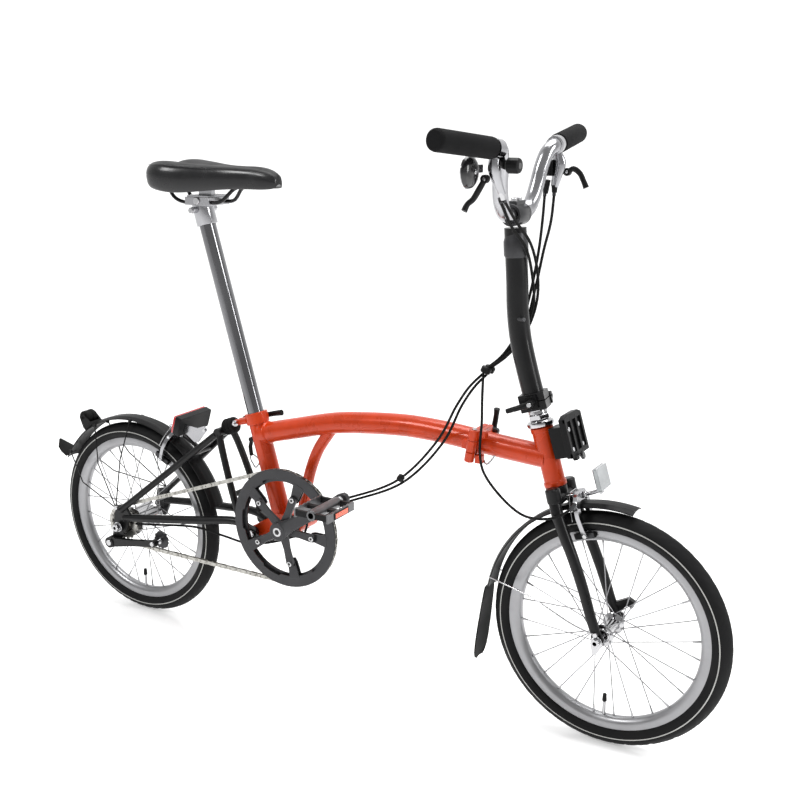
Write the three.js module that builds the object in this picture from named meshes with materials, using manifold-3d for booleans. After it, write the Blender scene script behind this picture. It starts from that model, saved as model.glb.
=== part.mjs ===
// Folding bicycle with 16 inch wheels: every separate piece is its own named mesh.
// Millimetres. +X is forward, +Y is the rider's left (the chain is on -Y), +Z is up.
import * as THREE from 'three';
import { mergeVertices } from 'three/addons/utils/BufferGeometryUtils.js';
import Module from 'manifold-3d';

const wasm = await Module();
wasm.setup();

// ---------------------------------------------------------------- driving dimensions
const ROW_SHIFT_X = 12.5; // puts the middle of the whole length on the origin
const WHEEL_R = 208;
const WHEELBASE = 1046.6;
const FRONT_AXLE = [WHEELBASE / 2, WHEEL_R];
const REAR_AXLE = [-WHEELBASE / 2, WHEEL_R];
const HEAD_TOP = [389.8, 541.8];
const HEAD_BOTTOM = [419.4, 445];
const MAIN_TUBE_R = 20;
const SEAT_TUBE_R = 18.5;
const SEATPOST_R = 15.9;
const SEAT_FOOT = [-145.4, 263.4]; // lower end of the seat tube axis
const SEAT_UP = [-0.2723, 0.9622];
const SEAT_TUBE_LEN = 225;
const BOTTOM_BRACKET = [-105, 282];
const REAR_PIVOT = [-203, 245];
const CRANK_LEN = 170;
const CRANK_ANGLE = THREE.MathUtils.degToRad(32);
const CHAIN_Y = -50;
const CHAINRING_TEETH = 54;
const CHAINRING_R = 107.5;
const GUARD_R = 117;
const HINGE_LOW = [272, -33.4, 468];
const HINGE_HIGH = [283, -33.4, 532];
const MUDGUARD_R = 224;
const SPOKES = 28;
const SEATPOST_LEN = 500;
const SEATPOST_TOP = 397; // distance of the post's upper end above the seat tube's upper end

// ---------------------------------------------------------------- colours
const paint = (color, roughness, metalness) =>
  new THREE.MeshStandardMaterial({ color, roughness, metalness });
const ORANGE = paint(0xc93a14, 0.25, 0.35);
const BLACK = paint(0x16171a, 0.4, 0.3);
const RUBBER = paint(0x101012, 0.85, 0);
const SILVER = paint(0xc4c6c8, 0.28, 0.95);
const STEEL = paint(0xb4b6b8, 0.2, 1);
const GREY = paint(0x4a4b4e, 0.45, 0.6);
const CHAIN_STEEL = paint(0x9c9a94, 0.35, 0.95);
const RED_LENS = paint(0xb01218, 0.2, 0);
const AMBER_LENS = paint(0xe05a10, 0.25, 0);
const CLEAR_LENS = paint(0xd6dadc, 0.15, 0);

// ---------------------------------------------------------------- geometry helpers
const V = (p) => new THREE.Vector3(p[0], p[1], p[2]);
const lift = (p, y = 0) => [p[0], y, p[1]]; // [x, z] to [x, y, z]

function ring(radius, sides) {
  const points = [];
  for (let i = 0; i < sides; i++) {
    const a = (2 * Math.PI * i) / sides;
    points.push(new THREE.Vector2(radius * Math.cos(a), radius * Math.sin(a)));
  }
  return points;
}

function rod(from, to, r0, r1 = r0, sides = 16) {
  const a = V(from);
  const b = V(to);
  const geometry = new THREE.CylinderGeometry(r1, r0, a.distanceTo(b), sides);
  const along = b.clone().sub(a).normalize();
  geometry.applyQuaternion(new THREE.Quaternion().setFromUnitVectors(new THREE.Vector3(0, 1, 0), along));
  return geometry.translate((a.x + b.x) / 2, (a.y + b.y) / 2, (a.z + b.z) / 2);
}

function pipe(points, radius, sides = 8, steps = 16) {
  const path = new THREE.CatmullRomCurve3(points.map(V), false, 'centripetal');
  return new THREE.ExtrudeGeometry(new THREE.Shape(ring(radius, sides)), {
    extrudePath: path,
    steps,
    bevelEnabled: false,
  });
}

// A flat outline in the u, v directions, with its thickness spread about the origin point.
function plate(outline, origin, u, v, thickness, holes = []) {
  const shape = new THREE.Shape(outline.map((p) => new THREE.Vector2(p[0], p[1])));
  for (const [x, y, r, sides = 16] of holes) {
    const hole = ring(r, sides).map((p) => p.add(new THREE.Vector2(x, y)));
    shape.holes.push(new THREE.Path(hole.reverse()));
  }
  const geometry = new THREE.ExtrudeGeometry(shape, { depth: thickness, bevelEnabled: false });
  geometry.translate(0, 0, -thickness / 2);
  const across = V(u).normalize();
  const up = V(v).normalize();
  const frame = new THREE.Matrix4().makeBasis(across, up, across.clone().cross(up));
  frame.setPosition(V(origin));
  return geometry.applyMatrix4(frame);
}

// An outline in x and z with its thickness from y0 to y1.
const disc = (r, count) => ring(r, count).map((p) => [p.x, p.y]);

function sidePlate(outline, y0, y1, holes = []) {
  return plate(outline, [0, (y0 + y1) / 2, 0], [1, 0, 0], [0, 0, 1], Math.abs(y1 - y0), holes);
}

function block(centre, size, turnY = 0) {
  const geometry = new THREE.BoxGeometry(size[0], size[1], size[2]);
  geometry.rotateY(turnY);
  return geometry.translate(centre[0], centre[1], centre[2]);
}

// A body of revolution about the y axis, from [radius, y] pairs.
function turned(profile, sides = 24) {
  return new THREE.LatheGeometry(profile.map((p) => new THREE.Vector2(p[0], p[1])), sides);
}

// A body of revolution along a line: profile is [radius, distance from the start].
function turnedAlong(profile, from, direction, sides = 24) {
  const geometry = turned(profile, sides);
  const up = new THREE.Vector3(0, 1, 0);
  geometry.applyQuaternion(new THREE.Quaternion().setFromUnitVectors(up, V(direction).normalize()));
  return geometry.translate(from[0], from[1], from[2]);
}

// A closed skin through cross sections that all have the same number of points.
function loft(sections, endless = false) {
  const count = sections[0].length;
  const total = sections.length * count;
  const positions = sections.flat(2);
  const triangles = [];
  for (let s = 0; s < sections.length - (endless ? 0 : 1); s++) {
    for (let i = 0; i < count; i++) {
      const a = s * count + i;
      const b = s * count + ((i + 1) % count);
      const c = (a + count) % total;
      const d = (b + count) % total;
      triangles.push(a, b, c, b, d, c);
    }
  }
  const last = (sections.length - 1) * count;
  for (let i = 1; i < count - 1 && !endless; i++) {
    triangles.push(0, i + 1, i);
    triangles.push(last, last + i, last + i + 1);
  }
  const geometry = new THREE.BufferGeometry();
  geometry.setAttribute('position', new THREE.Float32BufferAttribute(positions, 3));
  geometry.setIndex(triangles);
  return geometry;
}

function bare(geometry) {
  const copy = geometry.clone();
  copy.deleteAttribute('normal');
  copy.deleteAttribute('uv');
  return mergeVertices(copy, 1e-4);
}

function solid(geometry) {
  if (!geometry.isBufferGeometry) {
    return geometry;
  }
  const merged = bare(geometry);
  const body = new wasm.Manifold(
    new wasm.Mesh({
      numProp: 3,
      vertProperties: Float32Array.from(merged.attributes.position.array),
      triVerts: Uint32Array.from(merged.index.array),
    }),
  );
  return body;
}

function join(...geometries) {
  return geometries.flat(3).map(solid).reduce((all, next) => all.add(next));
}

function cut(body, ...geometries) {
  return geometries.flat(3).map(solid).reduce((rest, tool) => rest.subtract(tool), body);
}

function geometryOf(body) {
  const mesh = body.simplify(0.05).getMesh();
  const geometry = new THREE.BufferGeometry();
  geometry.setAttribute('position', new THREE.BufferAttribute(Float32Array.from(mesh.vertProperties), 3));
  geometry.setIndex(new THREE.BufferAttribute(Uint32Array.from(mesh.triVerts), 1));
  return geometry;
}

function piece(group, name, shape, material) {
  const geometry = shape.isBufferGeometry ? bare(shape) : geometryOf(shape);
  geometry.computeVertexNormals();
  const mesh = new THREE.Mesh(geometry, material);
  mesh.name = name;
  group.add(mesh);
  return mesh;
}

function assembly(parent, name, position = [0, 0, 0]) {
  const group = new THREE.Group();
  group.name = name;
  group.position.set(position[0], position[1], position[2]);
  parent.add(group);
  return group;
}

const bicycle = new THREE.Group();
bicycle.name = 'folding_bicycle';
bicycle.position.x = ROW_SHIFT_X;

// Directions of the steering axis (up) and square to it (forwards).
const STEER = [-0.2924, 0.9563];
const steerAt = (t, y = 0) => [HEAD_TOP[0] + STEER[0] * t, y, HEAD_TOP[1] + STEER[1] * t];
const AHEAD = [STEER[1], 0, -STEER[0]];
const seatAt = (t, y = 0) => [SEAT_FOOT[0] + SEAT_UP[0] * t, y, SEAT_FOOT[1] + SEAT_UP[1] * t];
const ACROSS = [0, 1, 0];

// ---------------------------------------------------------------- main frame, rear half
const frameGroup = assembly(bicycle, 'main_frame_assembly');
const rearTube = [
  [-196, 442], [-146, 456], [-98, 469], [-52, 481.5], [-10, 491], [40, 498],
  [92, 503.5], [140, 506.5], [190, 506], [236, 503.5], [271, 500.4],
];
const strut = [[-28, 478], [-42, 460], [-62, 430], [-79, 390], [-90, 350], [-100, 300]];
const pivotLug = [[-203, 257], [-150, 292], [-118, 292], [-105, 272], [-148, 252], [-203, 233]];
const hingeTilt = [HINGE_HIGH[0] - HINGE_LOW[0], 0, HINGE_HIGH[2] - HINGE_LOW[2]];
const hingeLen = Math.hypot(hingeTilt[0], hingeTilt[2]);
const hingeAt = (t, y = HINGE_LOW[1]) => [
  HINGE_LOW[0] + (hingeTilt[0] * t) / hingeLen, y, HINGE_LOW[2] + (hingeTilt[2] * t) / hingeLen,
];
const hingePlate = [[-24, -25], [24, -25], [24, -14], [31, -9], [31, 9], [24, 14], [24, 25], [-24, 25]];

function knuckle(from, to) {
  return rod(hingeAt(from), hingeAt(to), 8.5, 8.5, 12);
}

function hingeFace(side) {
  const middle = hingeAt(hingeLen / 2, 0);
  return plate(hingePlate, [middle[0] + side * 4.6, 0, middle[2]], [0, 1, 0], hingeTilt, 7);
}

let rearHalf = join(
  rod(seatAt(-8), seatAt(SEAT_TUBE_LEN), SEAT_TUBE_R, SEAT_TUBE_R, 18),
  pipe(rearTube.map((p) => lift(p)), MAIN_TUBE_R, 14, 10),
  pipe(strut.map((p) => lift(p)), 11, 8, 5),
  rod(lift(BOTTOM_BRACKET, -30), lift(BOTTOM_BRACKET, 30), 20.5, 20.5, 18),
  sidePlate(pivotLug, -20, -12),
  sidePlate(pivotLug, 12, 20),
  rod(lift(REAR_PIVOT, -24), lift(REAR_PIVOT, 24), 12, 12, 20),
  block([-138, 0, 284], [40, 24, 20]),
  hingeFace(-1),
  knuckle(22.3, 42.7),
  block([266, -27, 500], [14, 12, 14.5]),
);
rearHalf = cut(
  rearHalf,
  rod(seatAt(-30), seatAt(SEAT_TUBE_LEN + 20), SEATPOST_R + 0.45, SEATPOST_R + 0.45, 20),
  rod(lift(BOTTOM_BRACKET, -31), lift(BOTTOM_BRACKET, 31), 17.2, 17.2, 16),
  rod(lift(REAR_PIVOT, -25), lift(REAR_PIVOT, 25), 5.4, 5.4, 10),
  rod(hingeAt(-10), hingeAt(hingeLen + 10), 4.4, 4.4, 10),
);
piece(frameGroup, 'main_frame_rear_half', rearHalf, ORANGE);

const bbProfile = [[8.9, -33], [19, -33], [19, -30.4], [16.6, -30.4], [16.6, 30.4], [19, 30.4], [19, 33], [8.9, 33], [8.9, -33]];
const bbUnit = turned(bbProfile, 12).translate(BOTTOM_BRACKET[0], 0, BOTTOM_BRACKET[1]);
piece(frameGroup, 'bottom_bracket_cartridge', bbUnit, GREY);

// Seat clamp: a split collar with two ears behind the tube, a bolt across and a lever on the left.
const clampBase = SEAT_TUBE_LEN - 18;
const backAt = (t, back, y) => {
  const p = seatAt(t, y);
  return [p[0] - back * SEAT_UP[1], y, p[2] + back * SEAT_UP[0]];
};
const boltSpot = (y) => backAt(clampBase + 9, 43, y);
const collar = cut(
  join(
    rod(seatAt(clampBase), seatAt(SEAT_TUBE_LEN + 4), 22.5, 22.5, 18),
    rod(backAt(clampBase + 9, 18, -6.5), backAt(clampBase + 9, 50, -6.5), 6.5, 6.5, 10),
    rod(backAt(clampBase + 9, 18, 6.5), backAt(clampBase + 9, 50, 6.5), 6.5, 6.5, 10),
    rod(boltSpot(-22), boltSpot(20), 3, 3, 8),
    rod(boltSpot(-20), boltSpot(-13.5), 5.5, 5.5, 10),
  ),
  rod(seatAt(clampBase - 5), seatAt(SEAT_TUBE_LEN + 0.4), SEAT_TUBE_R + 0.4, SEAT_TUBE_R + 0.4, 18),
  rod(seatAt(SEAT_TUBE_LEN - 5), seatAt(SEAT_TUBE_LEN + 12), SEATPOST_R + 0.45, SEATPOST_R + 0.45, 18),
);
piece(frameGroup, 'seat_clamp_collar', collar, ORANGE);
const leverAcross = (along, y) => backAt(clampBase + 9, 43 - along, y);
const seatLever = cut(
  join(
    rod(boltSpot(13.6), boltSpot(24), 8, 8, 12),
    pipe([leverAcross(0, 19), leverAcross(28, 30), leverAcross(58, 33), leverAcross(84, 27)], 5.2, 8, 8),
  ),
  rod(boltSpot(10), boltSpot(20.4), 3.4, 3.4, 10),
);
piece(frameGroup, 'seat_clamp_lever', seatLever, BLACK);

// Seatpost, with the saddle's rails and clamp on its upper end.
const seatGroup = assembly(bicycle, 'seat_assembly');
const postTop = SEAT_TUBE_LEN + SEATPOST_TOP;
const post = rod(seatAt(postTop - SEATPOST_LEN), seatAt(postTop), SEATPOST_R, SEATPOST_R, 20);
piece(seatGroup, 'seatpost', post, STEEL);

// Rows of the saddle: x, half width, top middle, top of the sides, skirt edge, underside middle.
const saddleRows = [
  [-409, 48, 936, 941, 926, 931], [-402, 64, 945, 954, 914, 926], [-375, 72, 950, 959, 905, 925],
  [-338, 68, 950, 956, 901, 925], [-292, 50, 950, 952, 904, 925], [-246, 32, 951, 950, 908, 924],
  [-200, 23, 951, 948, 910, 922.5], [-165, 20, 949, 944, 910, 920], [-143, 15, 941, 937, 912, 919],
  [-134, 7, 930, 928, 918, 921],
];
const saddleSections = saddleRows.map(([x, w, top, side, skirt, under]) => {
  const half = [
    [0.3 * w, (top + side) / 2 + 0.6], [0.65 * w, side], [0.92 * w, side - 6], [w, (side + skirt) / 2],
    [0.94 * w, skirt], [0.8 * w, skirt + 1], [0.6 * w, under - 2],
  ];
  const left = half.map(([y, z]) => [x, y, z]);
  const right = half.map(([y, z]) => [x, -y, z]).reverse();
  return [[x, 0, top], ...left, [x, 0, under], ...right].reverse();
});
piece(seatGroup, 'saddle', loft(saddleSections), RUBBER);

const rail = (side) => pipe(
  [[-212, side * 8, 917.6], [-232, side * 12, 909], [-258, side * 20, 886], [-285, side * 22, 883],
    [-355, side * 22, 884], [-372, side * 24, 896], [-379, side * 26, 923]],
  3.5, 8, 12,
);
const clampBlock = cut(
  join(
    rail(-1),
    rail(1),
    block([-307, 0, 885], [58, 60, 15]),
    block([-307, 0, 899], [30, 12, 16]),
    rod(seatAt(postTop - 24), seatAt(postTop + 20), 20, 20, 18),
    rod([-318, -33, 868], [-318, 33, 868], 6, 6, 10),
  ),
  rod(seatAt(postTop - 40), seatAt(postTop + 0.5), SEATPOST_R + 0.4, SEATPOST_R + 0.4, 18),
);
piece(seatGroup, 'saddle_rails_and_clamp', clampBlock, SILVER);

// Catch behind the seat tube that holds the rear frame until it is released.
const catchPivot = backAt(178, 24.5, 0);
const catchTail = [catchPivot[0] - 4, 0, catchPivot[2] - 34];
const catchLever = join(
  rod([catchPivot[0], -7, catchPivot[2]], [catchPivot[0], 7, catchPivot[2]], 5, 5, 10),
  pipe([catchPivot, [catchPivot[0] - 6, 0, catchPivot[2] - 14], catchTail], 4, 8, 4),
  pipe(
    [
      [catchTail[0], 0, catchTail[2] + 3], [catchTail[0] + 4, -9, catchTail[2] - 4],
      [catchTail[0] + 12, -10, catchTail[2] - 14], [catchTail[0] + 10, 0, catchTail[2] - 24],
      [catchTail[0] + 12, 10, catchTail[2] - 14], [catchTail[0] + 4, 9, catchTail[2] - 4],
      [catchTail[0], 0, catchTail[2] + 3],
    ],
    1.2,
    5,
    10,
  ),
);
piece(frameGroup, 'rear_catch_lever', catchLever, BLACK);

// ---------------------------------------------------------------- main frame, front half
const frontGroup = assembly(bicycle, 'front_frame_assembly');
const frontTube = [[284, 499.3], [320, 496.6], [360, 494], [403, 491.5]];
let frontHalf = join(
  pipe(frontTube.map((p) => lift(p)), MAIN_TUBE_R, 14, 3),
  rod(lift(HEAD_BOTTOM), lift(HEAD_TOP), 17.8, 17.8, 18),
  hingeFace(1),
  knuckle(4, 21.7),
  knuckle(43.3, hingeLen - 3),
  block([290, -27, 477], [13, 12, 14]),
  block([296, -27, 522], [13, 12, 12]),
  pipe([[312, -13, 483], [302, -24, 468], [292, -20, 478]], 1.7, 6, 8),
);
frontHalf = cut(
  frontHalf,
  rod(steerAt(-140), steerAt(30), 14.6, 14.6, 16),
);
frontHalf = frontHalf.add(solid(rod(hingeAt(3), hingeAt(hingeLen - 2), 3.9, 3.9, 10)));
piece(frontGroup, 'main_frame_front_half', frontHalf, ORANGE);
const clampMiddle = hingeAt(hingeLen / 2, 38);
const clampFace = [[-15, -17], [15, -17], [15, 17], [-15, 17]];
const clampPlate = plate(clampFace, clampMiddle, [hingeTilt[2], 0, -hingeTilt[0]], hingeTilt, 9);
piece(frontGroup, 'main_hinge_clamp_plate', clampPlate, GREY);
const knobAt = (up, y) => hingeAt(hingeLen / 2 + up, y);
const hingeLever = join(
  rod(knobAt(0, 42.9), knobAt(0, 54), 8, 7, 12),
  pipe([knobAt(2, 48), knobAt(18, 51), knobAt(36, 50), knobAt(50, 47)], 5.4, 8, 6),
);
piece(frontGroup, 'main_hinge_lever', hingeLever, BLACK);

const cup = [[14.6, 0.3], [19, 0.3], [23, 4], [23, 9], [20, 12.6], [14.6, 12.6], [14.6, 0.3]];
piece(frontGroup, 'headset_upper_cup', turnedAlong(cup, steerAt(0), lift(STEER), 18), STEEL);
const DOWN = [-STEER[0], 0, -STEER[1]];
const headFoot = lift(HEAD_BOTTOM);

const carrierAt = (ahead, up, y) => {
  const p = steerAt(up - 30, y);
  return [p[0] + AHEAD[0] * ahead, y, p[2] + AHEAD[2] * ahead];
};
const carrierFace = [[-35, -32], [35, -32], [35, 33], [22, 38], [-22, 38], [-35, 33]];
let carrier = join(
  plate([[18.6, -28], [50, -28], [50, 24], [18.6, 24]], carrierAt(0, 3, 0), AHEAD, lift(STEER), 34),
  plate([[-14, -40], [-2, -40], [-2, -28], [-14, -28]], carrierAt(53, 8, 0), ACROSS, lift(STEER), 9),
  plate(carrierFace, carrierAt(54, 8, 0), ACROSS, lift(STEER), 11),
);
carrier = cut(
  carrier,
  [-21, 0, 21].map((y) => plate([[-7, -24], [7, -24], [7, 27], [-7, 27]], carrierAt(59, 8, y), ACROSS, lift(STEER), 7)),
);
piece(frontGroup, 'luggage_block', carrier, BLACK);
const button = rod(carrierAt(62, -26, -8), carrierAt(67, -26, -8), 6.6, 6.6, 12);
piece(frontGroup, 'luggage_block_button', button, BLACK);

// ---------------------------------------------------------------- fork and what turns with it
const forkGroup = assembly(bicycle, 'fork_assembly');
const bladeLine = [[429, 436], [437, 413], [452, 380], [470, 343], [492, 290], [509, 242], [519, 216]];
const bladeSpread = [31, 36, 40, 42, 44, 46, 46];
const blade = (side) => pipe(bladeLine.map((p, i) => lift(p, side * bladeSpread[i])), 9, 8, 6);
const dropout = (side) => sidePlate([[510, 222], [526, 222], [533, 208], [528, 198], [516, 198], [511, 208]],
  side * 43, side * 49);
const FRONT_BRAKE = [462, 0, 435];
const crownAt = (t, y) => [headFoot[0] + DOWN[0] * t, y, headFoot[2] + DOWN[2] * t];
const fork = cut(
  join(
    rod(crownAt(0.5, 0), crownAt(24, 0), 18.6, 17, 18),
    rod(crownAt(10, 0), steerAt(29), 12.9, 12.9, 16),
    rod([431, -38, 428], [431, 38, 428], 11, 11, 14),
    [-1, 1].map((side) => rod([426, side * 33, 450], [433, side * 33, 424], 12.5, 12.5, 14)),
    [-1, 1].map(blade),
    [-1, 1].map(dropout),
    sidePlate([[514, 236], [540, 250], [552, 244], [548, 232], [538, 236], [528, 222], [512, 220]], 44, 55),
  ),
  rod(steerAt(-70), steerAt(40), 11.4, 11.4, 16),
  rod([FRONT_AXLE[0], -60, FRONT_AXLE[1]], [FRONT_AXLE[0], 60, FRONT_AXLE[1]], 5.2, 5.2, 12),
  rod(FRONT_BRAKE.map((v, i) => v - 30 * AHEAD[i]), FRONT_BRAKE, 7, 7, 12),
);
piece(forkGroup, 'fork', fork, BLACK);

const nutBody = cut(
  join(turnedAlong([[0, 13], [18.5, 13], [18.5, 24], [16, 29.4], [0, 29.4]], steerAt(0), lift(STEER), 6)),
  rod(steerAt(10), steerAt(35), 13.4, 13.4, 16),
);
piece(forkGroup, 'headset_locknut', nutBody, STEEL);

// Folding joint of the handlebar stem: the barrel lies on the left, and the stem folds down that side.
const SKEW = THREE.MathUtils.degToRad(12);
const STEM_JOINT_T = 46;
const STEM_JOINT_OUT = 27;
const stemAxis = AHEAD.map((v, i) => v * Math.cos(SKEW) + ACROSS[i] * Math.sin(SKEW));
const stemOut = AHEAD.map((v, i) => -v * Math.sin(SKEW) + ACROSS[i] * Math.cos(SKEW));
const stemPoint = (along, out, up) => {
  const p = steerAt(STEM_JOINT_T + up);
  return p.map((v, i) => v + stemAxis[i] * along + stemOut[i] * out);
};
const barrel = (from, to) => rod(stemPoint(from, STEM_JOINT_OUT, 0), stemPoint(to, STEM_JOINT_OUT, 0), 7, 7, 14);
const jointBlock = (low, high, width) => plate(
  [[-22, -21], [22, -21], [22, 17], [14, 24], [-14, 24], [-22, 17]],
  stemPoint(0, 0, (low + high) / 2), stemAxis, stemOut, high - low,
);
const boltCut = rod(stemPoint(-40, STEM_JOINT_OUT, 0), stemPoint(40, STEM_JOINT_OUT, 0), 3.3, 3.3, 10);
let stemBase = join(
  jointBlock(-15, -0.7),
  rod(stemPoint(0, 0, -8), steerAt(-60), 10.8, 10.8, 16),
  barrel(-24, -8.3),
  barrel(8.3, 24),
  plate([[-24, -13], [-8.3, -13], [-8.3, -2], [-24, -2]], stemPoint(0, 22, 0), stemAxis, lift(STEER), 8),
  plate([[8.3, -13], [24, -13], [24, -2], [8.3, -2]], stemPoint(0, 22, 0), stemAxis, lift(STEER), 8),
);
stemBase = cut(stemBase, plate([[-8, -8], [8, -8], [8, 12], [-8, 12]],
  stemPoint(0, STEM_JOINT_OUT, 0), stemAxis, lift(STEER), 16));
stemBase = stemBase.add(solid(rod(stemPoint(-20, STEM_JOINT_OUT, 0), stemPoint(20, STEM_JOINT_OUT, 0), 2.9, 2.9, 10)));
piece(forkGroup, 'stem_joint_base', stemBase, BLACK);
const knobOut = (out, up) => stemPoint(0, -out, up);
const stemLever = join(
  plate([[-9, -11], [9, -11], [9, 11], [-9, 11]], knobOut(25.2, 0), stemAxis, lift(STEER), 7),
  rod(knobOut(26, 0), knobOut(45, 0), 7, 7, 12),
  pipe([knobOut(41, 0), stemPoint(-16, -44, -1), stemPoint(-40, -42, -3)], 4.8, 8, 4),
);
piece(forkGroup, 'stem_joint_lever', stemLever, BLACK);

// Stem tube with the bar clamp on top.
const stemGroup = assembly(bicycle, 'stem_assembly');
const BAR_AT = [333, 0, 889];
const stemLine = [steerAt(52), steerAt(100), [347.5, 0, 687], [341, 0, 733], [338.5, 0, 780], [335, 0, 830], [332, 0, 876]];
const stem = cut(
  join(
    cut(
      solid(jointBlock(0.7, 14)),
      rod(stemPoint(-26, STEM_JOINT_OUT, 0), stemPoint(-8, STEM_JOINT_OUT, 0), 7.6, 7.6, 14),
      rod(stemPoint(8, STEM_JOINT_OUT, 0), stemPoint(26, STEM_JOINT_OUT, 0), 7.6, 7.6, 14),
    ),
    barrel(-7.7, 7.7),
    pipe(stemLine, 18.2, 14, 8),
    rod([335.2, 0, 826], [333.4, 0, 852], 19.9, 19.2, 14),
    rod([BAR_AT[0], -22, BAR_AT[2]], [BAR_AT[0], 22, BAR_AT[2]], 18, 18, 18),
    block([BAR_AT[0], 0, 905], [17, 34, 12]),
  ),
  boltCut,
  rod([BAR_AT[0], -24, BAR_AT[2]], [BAR_AT[0], 24, BAR_AT[2]], 13.1, 13.1, 18),
);
piece(stemGroup, 'stem', stem, BLACK);

// Handlebar: straight in the clamp, an S-bend up each side, then a straight end inside the grip.
const GRIP_IN = [348, 127, 997];
const GRIP_OUT = [328, 268, 1012];
const gripAt = (t, side) => GRIP_IN.map((v, i) => (v + (GRIP_OUT[i] - v) * t) * [1, side, 1][i]);
const barSide = (side) => [
  pipe(
    [[333, 22, 889], [333.4, 44, 894], [334.5, 59, 909], [337, 70, 933], [341, 78, 962], [346, 88, 984], gripAt(-0.16, 1)]
      .map(([x, y, z]) => [x, side * y, z]),
    12.4, 10, 13,
  ),
  rod(gripAt(-0.17, side), gripAt(0.95, side), 11.1, 11.1, 10),
  rod(gripAt(-0.15, side), gripAt(-0.03, side), 15.4, 15.4, 12),
];
const rightBody = [
  pipe([[347, -113, 984], [346, -112, 965], [350, -104, 942], [354, -97, 927]], 8, 8, 4),
  rod([353.5, -98, 930], [354.5, -95, 921], 5, 4, 8),
  rod([343, -90, 976], [360, -101, 971], 6, 6, 8),
];
const leftBody = [
  pipe([[350, 114, 984], [356, 115, 965], [354, 113, 942], [351, 112, 927]], 9, 8, 4),
  rod([351, 112, 928], [351, 112, 919], 5, 4, 8),
  pipe([[350, 112, 935], [340, 113, 925], [334, 114, 918]], 4.5, 6, 2),
];
const handlebar = join(
  rod([BAR_AT[0], -23, BAR_AT[2]], [BAR_AT[0], 23, BAR_AT[2]], 12.4, 12.4, 12),
  barSide(-1), barSide(1), rightBody, leftBody,
);
piece(stemGroup, 'handlebar', handlebar, STEEL);
for (const [name, side] of [['grip_right', -1], ['grip_left', 1]]) {
  const sleeve = cut(
    join(rod(gripAt(0, side), gripAt(0.97, side), 16.8, 16.8, 14), rod(gripAt(0.96, side), gripAt(1, side), 16.4, 14, 14)),
    rod(gripAt(-0.05, side), gripAt(0.955, side), 11.9, 11.9, 10),
  );
  piece(stemGroup, name, sleeve, RUBBER);
}
piece(stemGroup, 'brake_lever_right', join(
  pipe([[335, -119, 950], [325, -121, 934], [316, -123, 919], [309, -132, 911]], 4, 6, 5),
  rod([335, -124, 951], [335, -114, 951], 6.5, 6.5, 12),
), BLACK);
piece(stemGroup, 'brake_lever_left', join(
  pipe([[366, 129, 950], [374, 135, 956], [385, 139, 948], [394, 141, 928]], 4, 6, 5),
  rod([366, 125.5, 951], [366, 134, 951], 6.5, 6.5, 12),
), BLACK);
const knob = turnedAlong([[0, 0], [10, 0], [12, 3], [12, 17], [10.5, 20], [0, 20]], [364, -101.4, 971], [1, -0.05, 0], 16);
piece(stemGroup, 'shifter_knob', knob, BLACK);
const bellShape = turnedAlong([[0, 0], [25, 0], [25, 5], [21, 10], [12, 13], [0, 14]], [315.5, -141, 962], [1, 0, 0], 20);
piece(stemGroup, 'bell', bellShape, BLACK);

// Cables from the bar to the clip in front of the frame, and on from there.
const cableGroup = assembly(bicycle, 'cable_assembly');
const CABLE_R = 2.3;
const upperCables = [
  [[354.7, -94.6, 920], [358, -52, 882], [364, -10, 846], [367, 14, 800], [363, 27, 750], [346, 32, 700], [318, 20, 654], [291, 5, 629]],
  [[350, -98, 919], [352, -54, 873], [358, -13, 838], [361, 8, 792], [358, 24, 742], [342, 27, 694], [314, 14, 650], [286, -2, 628]],
  [[351, 112, 918], [356, 90, 872], [359, 57, 828], [353, 39, 762], [339, 35, 702], [313, 25, 656], [289, 7, 628]],
  [[333, 114, 916], [342, 86, 868], [350, 54, 818], [346, 34, 752], [332, 29, 697], [308, 15, 651], [284, 0, 627]],
];
piece(cableGroup, 'cables_upper', join(
  upperCables.map((line) => pipe(line.map((p, i) => (i ? p : [p[0], p[1], p[2] - 2.2])), CABLE_R, 8, 10)),
  block([288, 2, 628], [22, 22, 9]),
), RUBBER);
piece(cableGroup, 'cable_front_brake', pipe(
  [[283, -5, 620.6], [296, -34, 585], [300, -42, 545], [298, -43, 500], [303, -40, 462], [330, -36, 425], [372, -42, 400],
    [410, -58, 402], [446, -61, 412], [468, -50, 428], [470, -43, 434]],
  CABLE_R, 8, 20,
), RUBBER);
piece(cableGroup, 'cables_middle', join(
  [[0, 0, 0], [7, 6, -5]].map(([dx, dy, dz]) => pipe([
    [283 + dx, 1 + dy * 0.4, 620.6], [267 + dx, -24 + dy, 600], [250 + dx, -37 + dy, 568], [217 + dx, -38 + dy, 505 + dz],
    [134 + dx, -33 + dy, 415 + dz], [21 + dx, -24 + dy, 357 + dz], [-50 + dx, -19 + dy * 0.5, 329 + dz], [-82, -17, 310 + dz * 0.8],
  ], CABLE_R, 8, 13)),
  block([-82, -17, 307], [9, 7, 12]),
), RUBBER);
piece(cableGroup, 'cables_rear', pipe(
  [[-82, -17, 300.6], [-79, -18, 282], [-86, -20, 262], [-108, -22, 253], [-150, -26, 236], [-202, -40, 225.5],
    [-262, -44, 231], [-330, -48, 237.5], [-440, -57, 224.5], [-486, -57, 217.5]],
  CABLE_R, 8, 20,
), RUBBER);

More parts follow.
